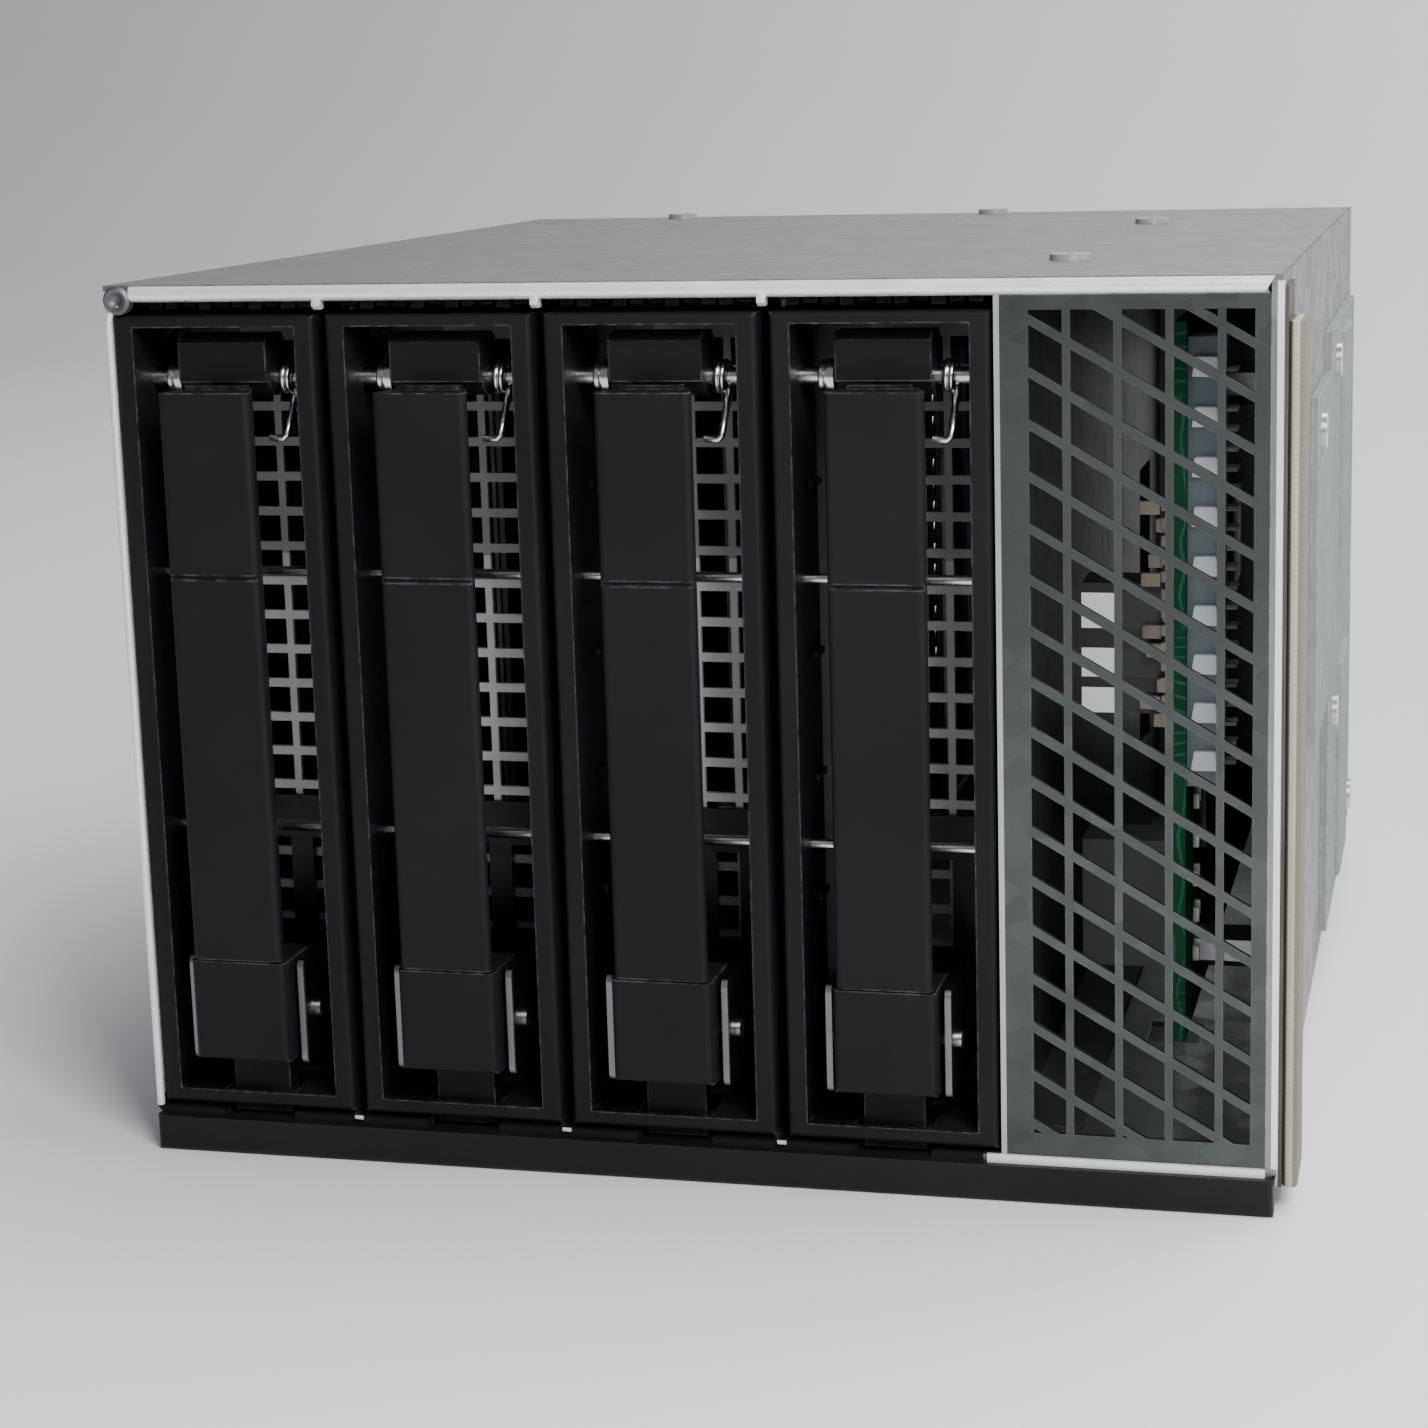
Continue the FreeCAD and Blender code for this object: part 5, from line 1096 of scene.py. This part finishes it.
@dataclass
class CarrierDetails(Details):
    """Wire spring and small mouldings of one drive carrier."""

    wire: float = 0.95
    turns: float = 2.25
    coil_radius: float = 1.72
    coil_steps: int = 64
    leg_steps: int = 8
    pin_inset: float = 2.1
    rib_heights: tuple[float, ...] = (36.0, 52.0, 68.0, 90.0)
    bar_width: float = 2.6
    gusset: float = 2.2

    def build(self) -> list[Piece]:
        """Make the pieces in order."""
        return [self._spring(), self._collar(), self._bezel_ribs()]

    def _spring(self) -> Piece:
        """Coil round the latch pin with a leg that hooks towards the lever."""
        solid = Box.of(f"{self.body}_latch_spring")
        latch = Box.of(f"{self.body}_latch")
        centre_y = solid.high.y - self.pin_inset
        centre_z = solid.high.z - self.pin_inset
        half = self.wire / 2.0
        left = latch.high.x + 0.5 + half
        right = solid.high.x - half
        path = []
        for step in range(self.coil_steps + 1):
            share = step / self.coil_steps
            angle = math.radians(60.0) - share * self.turns * math.tau
            across = left + (right - left) * min(1.0, share * 1.05)
            height = centre_z + self.coil_radius * math.sin(angle)
            path.append((across, centre_y + self.coil_radius * math.cos(angle), height))
        foot = Vector((right, solid.low.y + half, solid.low.z + half))
        start = Vector(path[-1])
        for step in range(1, self.leg_steps):
            path.append(start.lerp(foot + Vector((0.0, 0.0, 0.9)), step / self.leg_steps))
        for across, height in ((-0.15, 0.35), (-0.6, 0.0), (-1.5, -0.05), (-2.4, 0.1)):
            path.append(foot + Vector((across, 0.0, height)))
        form = Form(f"{self.body}_spring_coil")
        form.tube(path, half, 12)
        item = self.dressed(form, "bright_steel")
        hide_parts(f"{self.body}_latch_spring")
        return item

    def _collar(self) -> Piece:
        """Retaining collar on the latch pin, beside the latch."""
        form = Form(f"{self.body}_latch_collar")
        latch = Box.of(f"{self.body}_latch")
        spring = Box.of(f"{self.body}_latch_spring")
        centre = (latch.low.x - 0.45, spring.high.y - self.pin_inset, spring.high.z - self.pin_inset)
        profile = [
            (1.15, -2.2), (1.8, -2.15), (2.05, -1.9), (2.05, -1.45), (1.6, -1.3), (1.6, -1.1), (2.2, -0.95),
            (2.2, -0.1), (1.9, 0.05), (1.15, 0.1),
        ]
        form.turned(profile, centre, "X")
        return self.dressed(form, "bright_steel")

    def _bezel_ribs(self) -> Piece:
        """Stiffening ribs inside the bezel's side bars and its corner gussets."""
        form = Form(f"{self.body}_bezel_ribs")
        frame = Box.of(f"{self.body}_bezel")
        for side, wall in ((1.0, frame.low.x + self.bar_width), (-1.0, frame.high.x - self.bar_width)):
            for height in self.rib_heights:
                ends = (wall, wall + side * 0.7)
                form.block((min(ends), 8.6, height), (max(ends), 13.6, height + 0.9), 0.15)
            for corner, turn in ((frame.low.z + 2.0, self.gusset), (frame.high.z - 1.5, -self.gusset)):
                outline = [(wall, corner), (wall + side * self.gusset, corner), (wall, corner + turn)]
                form.prism(outline, "Y", 9.5, 13.6, 0.12)
        return self.dressed(form, "black_plastic")


# --- studio


@dataclass(frozen=True)
class SoftBox:
    """One rectangular light in metres, aimed at a point."""

    name: str
    place: Point
    target: Point
    width: float
    height: float
    power: float

    def build(self) -> None:
        """Add the light to the scene."""
        lamp = bpy.data.lights.new(self.name, "AREA")
        lamp.shape = "RECTANGLE"
        lamp.size = self.width
        lamp.size_y = self.height
        lamp.energy = self.power
        item = bpy.data.objects.new(self.name, lamp)
        item.location = self.place
        aim = Vector(self.target) - Vector(self.place)
        item.rotation_euler = aim.to_track_quat("-Z", "Y").to_euler()
        bpy.context.scene.collection.objects.link(item)


@dataclass(frozen=True)
class Viewpoint:
    """The camera: place in millimetres, direction, roll in degrees, lens and shift."""

    place: Point
    direction: Point
    roll: float
    lens: float
    shift: tuple[float, float]
    sensor: float = 36.0
    nearest: float = 0.01

    def build(self) -> None:
        """Add the camera and make it the scene's."""
        data = bpy.data.cameras.new("viewpoint")
        data.lens = self.lens
        data.sensor_width = self.sensor
        data.shift_x, data.shift_y = self.shift
        data.clip_start = self.nearest
        item = bpy.data.objects.new("viewpoint", data)
        facing = Vector(self.direction).to_track_quat("-Z", "Y").to_matrix().to_4x4()
        turn = Matrix.Rotation(math.radians(self.roll), 4, "Z")
        item.matrix_world = Matrix.Translation(Vector(self.place) * MM) @ facing @ turn
        bpy.context.scene.collection.objects.link(item)
        bpy.context.scene.camera = item


@dataclass
class Studio:
    """Pale floor, soft lights and a plain surrounding; lengths in metres."""

    view: Viewpoint
    lights: tuple[SoftBox, ...]
    surround: Colour = (0.78, 0.78, 0.84)
    strength: float = 0.22
    floor_colours: tuple[Colour, Colour] = ((0.8, 0.8, 0.82), (0.73, 0.73, 0.76))
    half_width: float = 3.5
    front: float = -3.0
    bend_start: float = 1.2
    bend_radius: float = 0.8
    bend_angles: tuple[float, ...] = (0.3, 0.6, 0.9, 1.2, math.pi / 2.0)
    wall_top: float = 3.0

    def build(self) -> None:
        """Make the floor, the surroundings, the lights and the camera."""
        world = bpy.data.worlds.new("surround")
        world.use_nodes = True
        backdrop = world.node_tree.nodes["Background"]
        backdrop.inputs["Color"].default_value = (*self.surround, 1.0)
        backdrop.inputs["Strength"].default_value = self.strength
        bpy.context.scene.world = world
        self._floor()
        for light in self.lights:
            light.build()
        self.view.build()

    def _floor(self) -> None:
        """A wide pale floor with a faint mottle, rising behind the object in a soft curve."""
        graph = Graph("studio_floor")
        spot = graph.place()
        mottle = graph.noise(spot, 160.0, 4.0)
        colour = graph.mix(mottle * 0.5, *self.floor_colours)
        surface = {"Base Color": colour, "Roughness": (0.6 + mottle * 0.15).clamp(), "Metallic": 0.0}
        graph.close(surface, graph.noise(spot, 1.5, 2.0), 0.05, 0.1)
        start, radius = self.bend_start, self.bend_radius
        profile = [(self.front, 0.0), (start, 0.0)]
        profile += [(start + radius * math.sin(a), radius - radius * math.cos(a)) for a in self.bend_angles]
        profile += [(start + radius, self.wall_top)]
        mesh = bmesh.new()
        sides = (-self.half_width, self.half_width)
        rows = [[mesh.verts.new((side, depth, height)) for side in sides] for depth, height in profile]
        for first, second in zip(rows, rows[1:]):
            mesh.faces.new((first[0], first[1], second[1], second[0]))
        data = bpy.data.meshes.new("studio_floor")
        mesh.to_mesh(data)
        mesh.free()
        data.shade_smooth()
        data.materials.append(graph.material)
        floor = bpy.data.objects.new("studio_floor", data)
        bpy.context.scene.collection.objects.link(floor)


VIEW = Viewpoint(
    place=(97.4, -351.6, 139.2), direction=(-0.2293, 0.9543, -0.1916), roll=-1.43, lens=73.97, shift=(-0.044, -0.033)
)

LIGHTS = (
    SoftBox("key", (0.24, -0.3, 0.37), (0.04, 0.0, 0.06), 0.2, 0.2, 3.0),
    SoftBox("overhead", (0.5, 0.35, 1.1), (0.15, 0.08, 0.05), 1.1, 1.0, 19.0),
    SoftBox("front_fill", (0.3, -0.9, 0.5), (0.03, 0.0, 0.06), 0.4, 0.4, 1.2),
    SoftBox("right_side", (1.0, 0.15, 0.3), (0.08, 0.08, 0.06), 0.7, 0.5, 0.6),
    SoftBox("backdrop", (0.9, 0.9, 1.2), (0.75, 2.0, 0.6), 0.7, 0.6, 24.0),
)

MOULDINGS = ("_bezel", "_lever", "_lever_foot", "_latch")
MOULDING_ROUNDING = 0.16
ROUNDED = ("front_lip", "side_bracket", "side_board_header", "side_board_power")
ROUNDING = 0.14


def main() -> None:
    """Build every sub-assembly in order and report its pieces."""
    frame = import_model()
    nodes = frame["nodes"]
    palette = Palette()
    palette.build()
    palette.dress(nodes, frame["record"])
    soften(nodes, [name for name in nodes if name.endswith(MOULDINGS)], MOULDING_ROUNDING)
    soften(nodes, ROUNDED, ROUNDING)

    assemblies = [CageDetails(palette), BoardDetails(palette)]
    assemblies += [CarrierDetails(palette, f"carrier_{bay}") for bay in BAYS]
    for assembly in assemblies:
        for piece in assembly.build():
            LOG.info("%s: %s", type(assembly).__name__, piece.name)
    Studio(VIEW, LIGHTS).build()


if __name__ == "__main__":
    logging.basicConfig(level=logging.INFO, format="%(name)s: %(message)s")
    main()
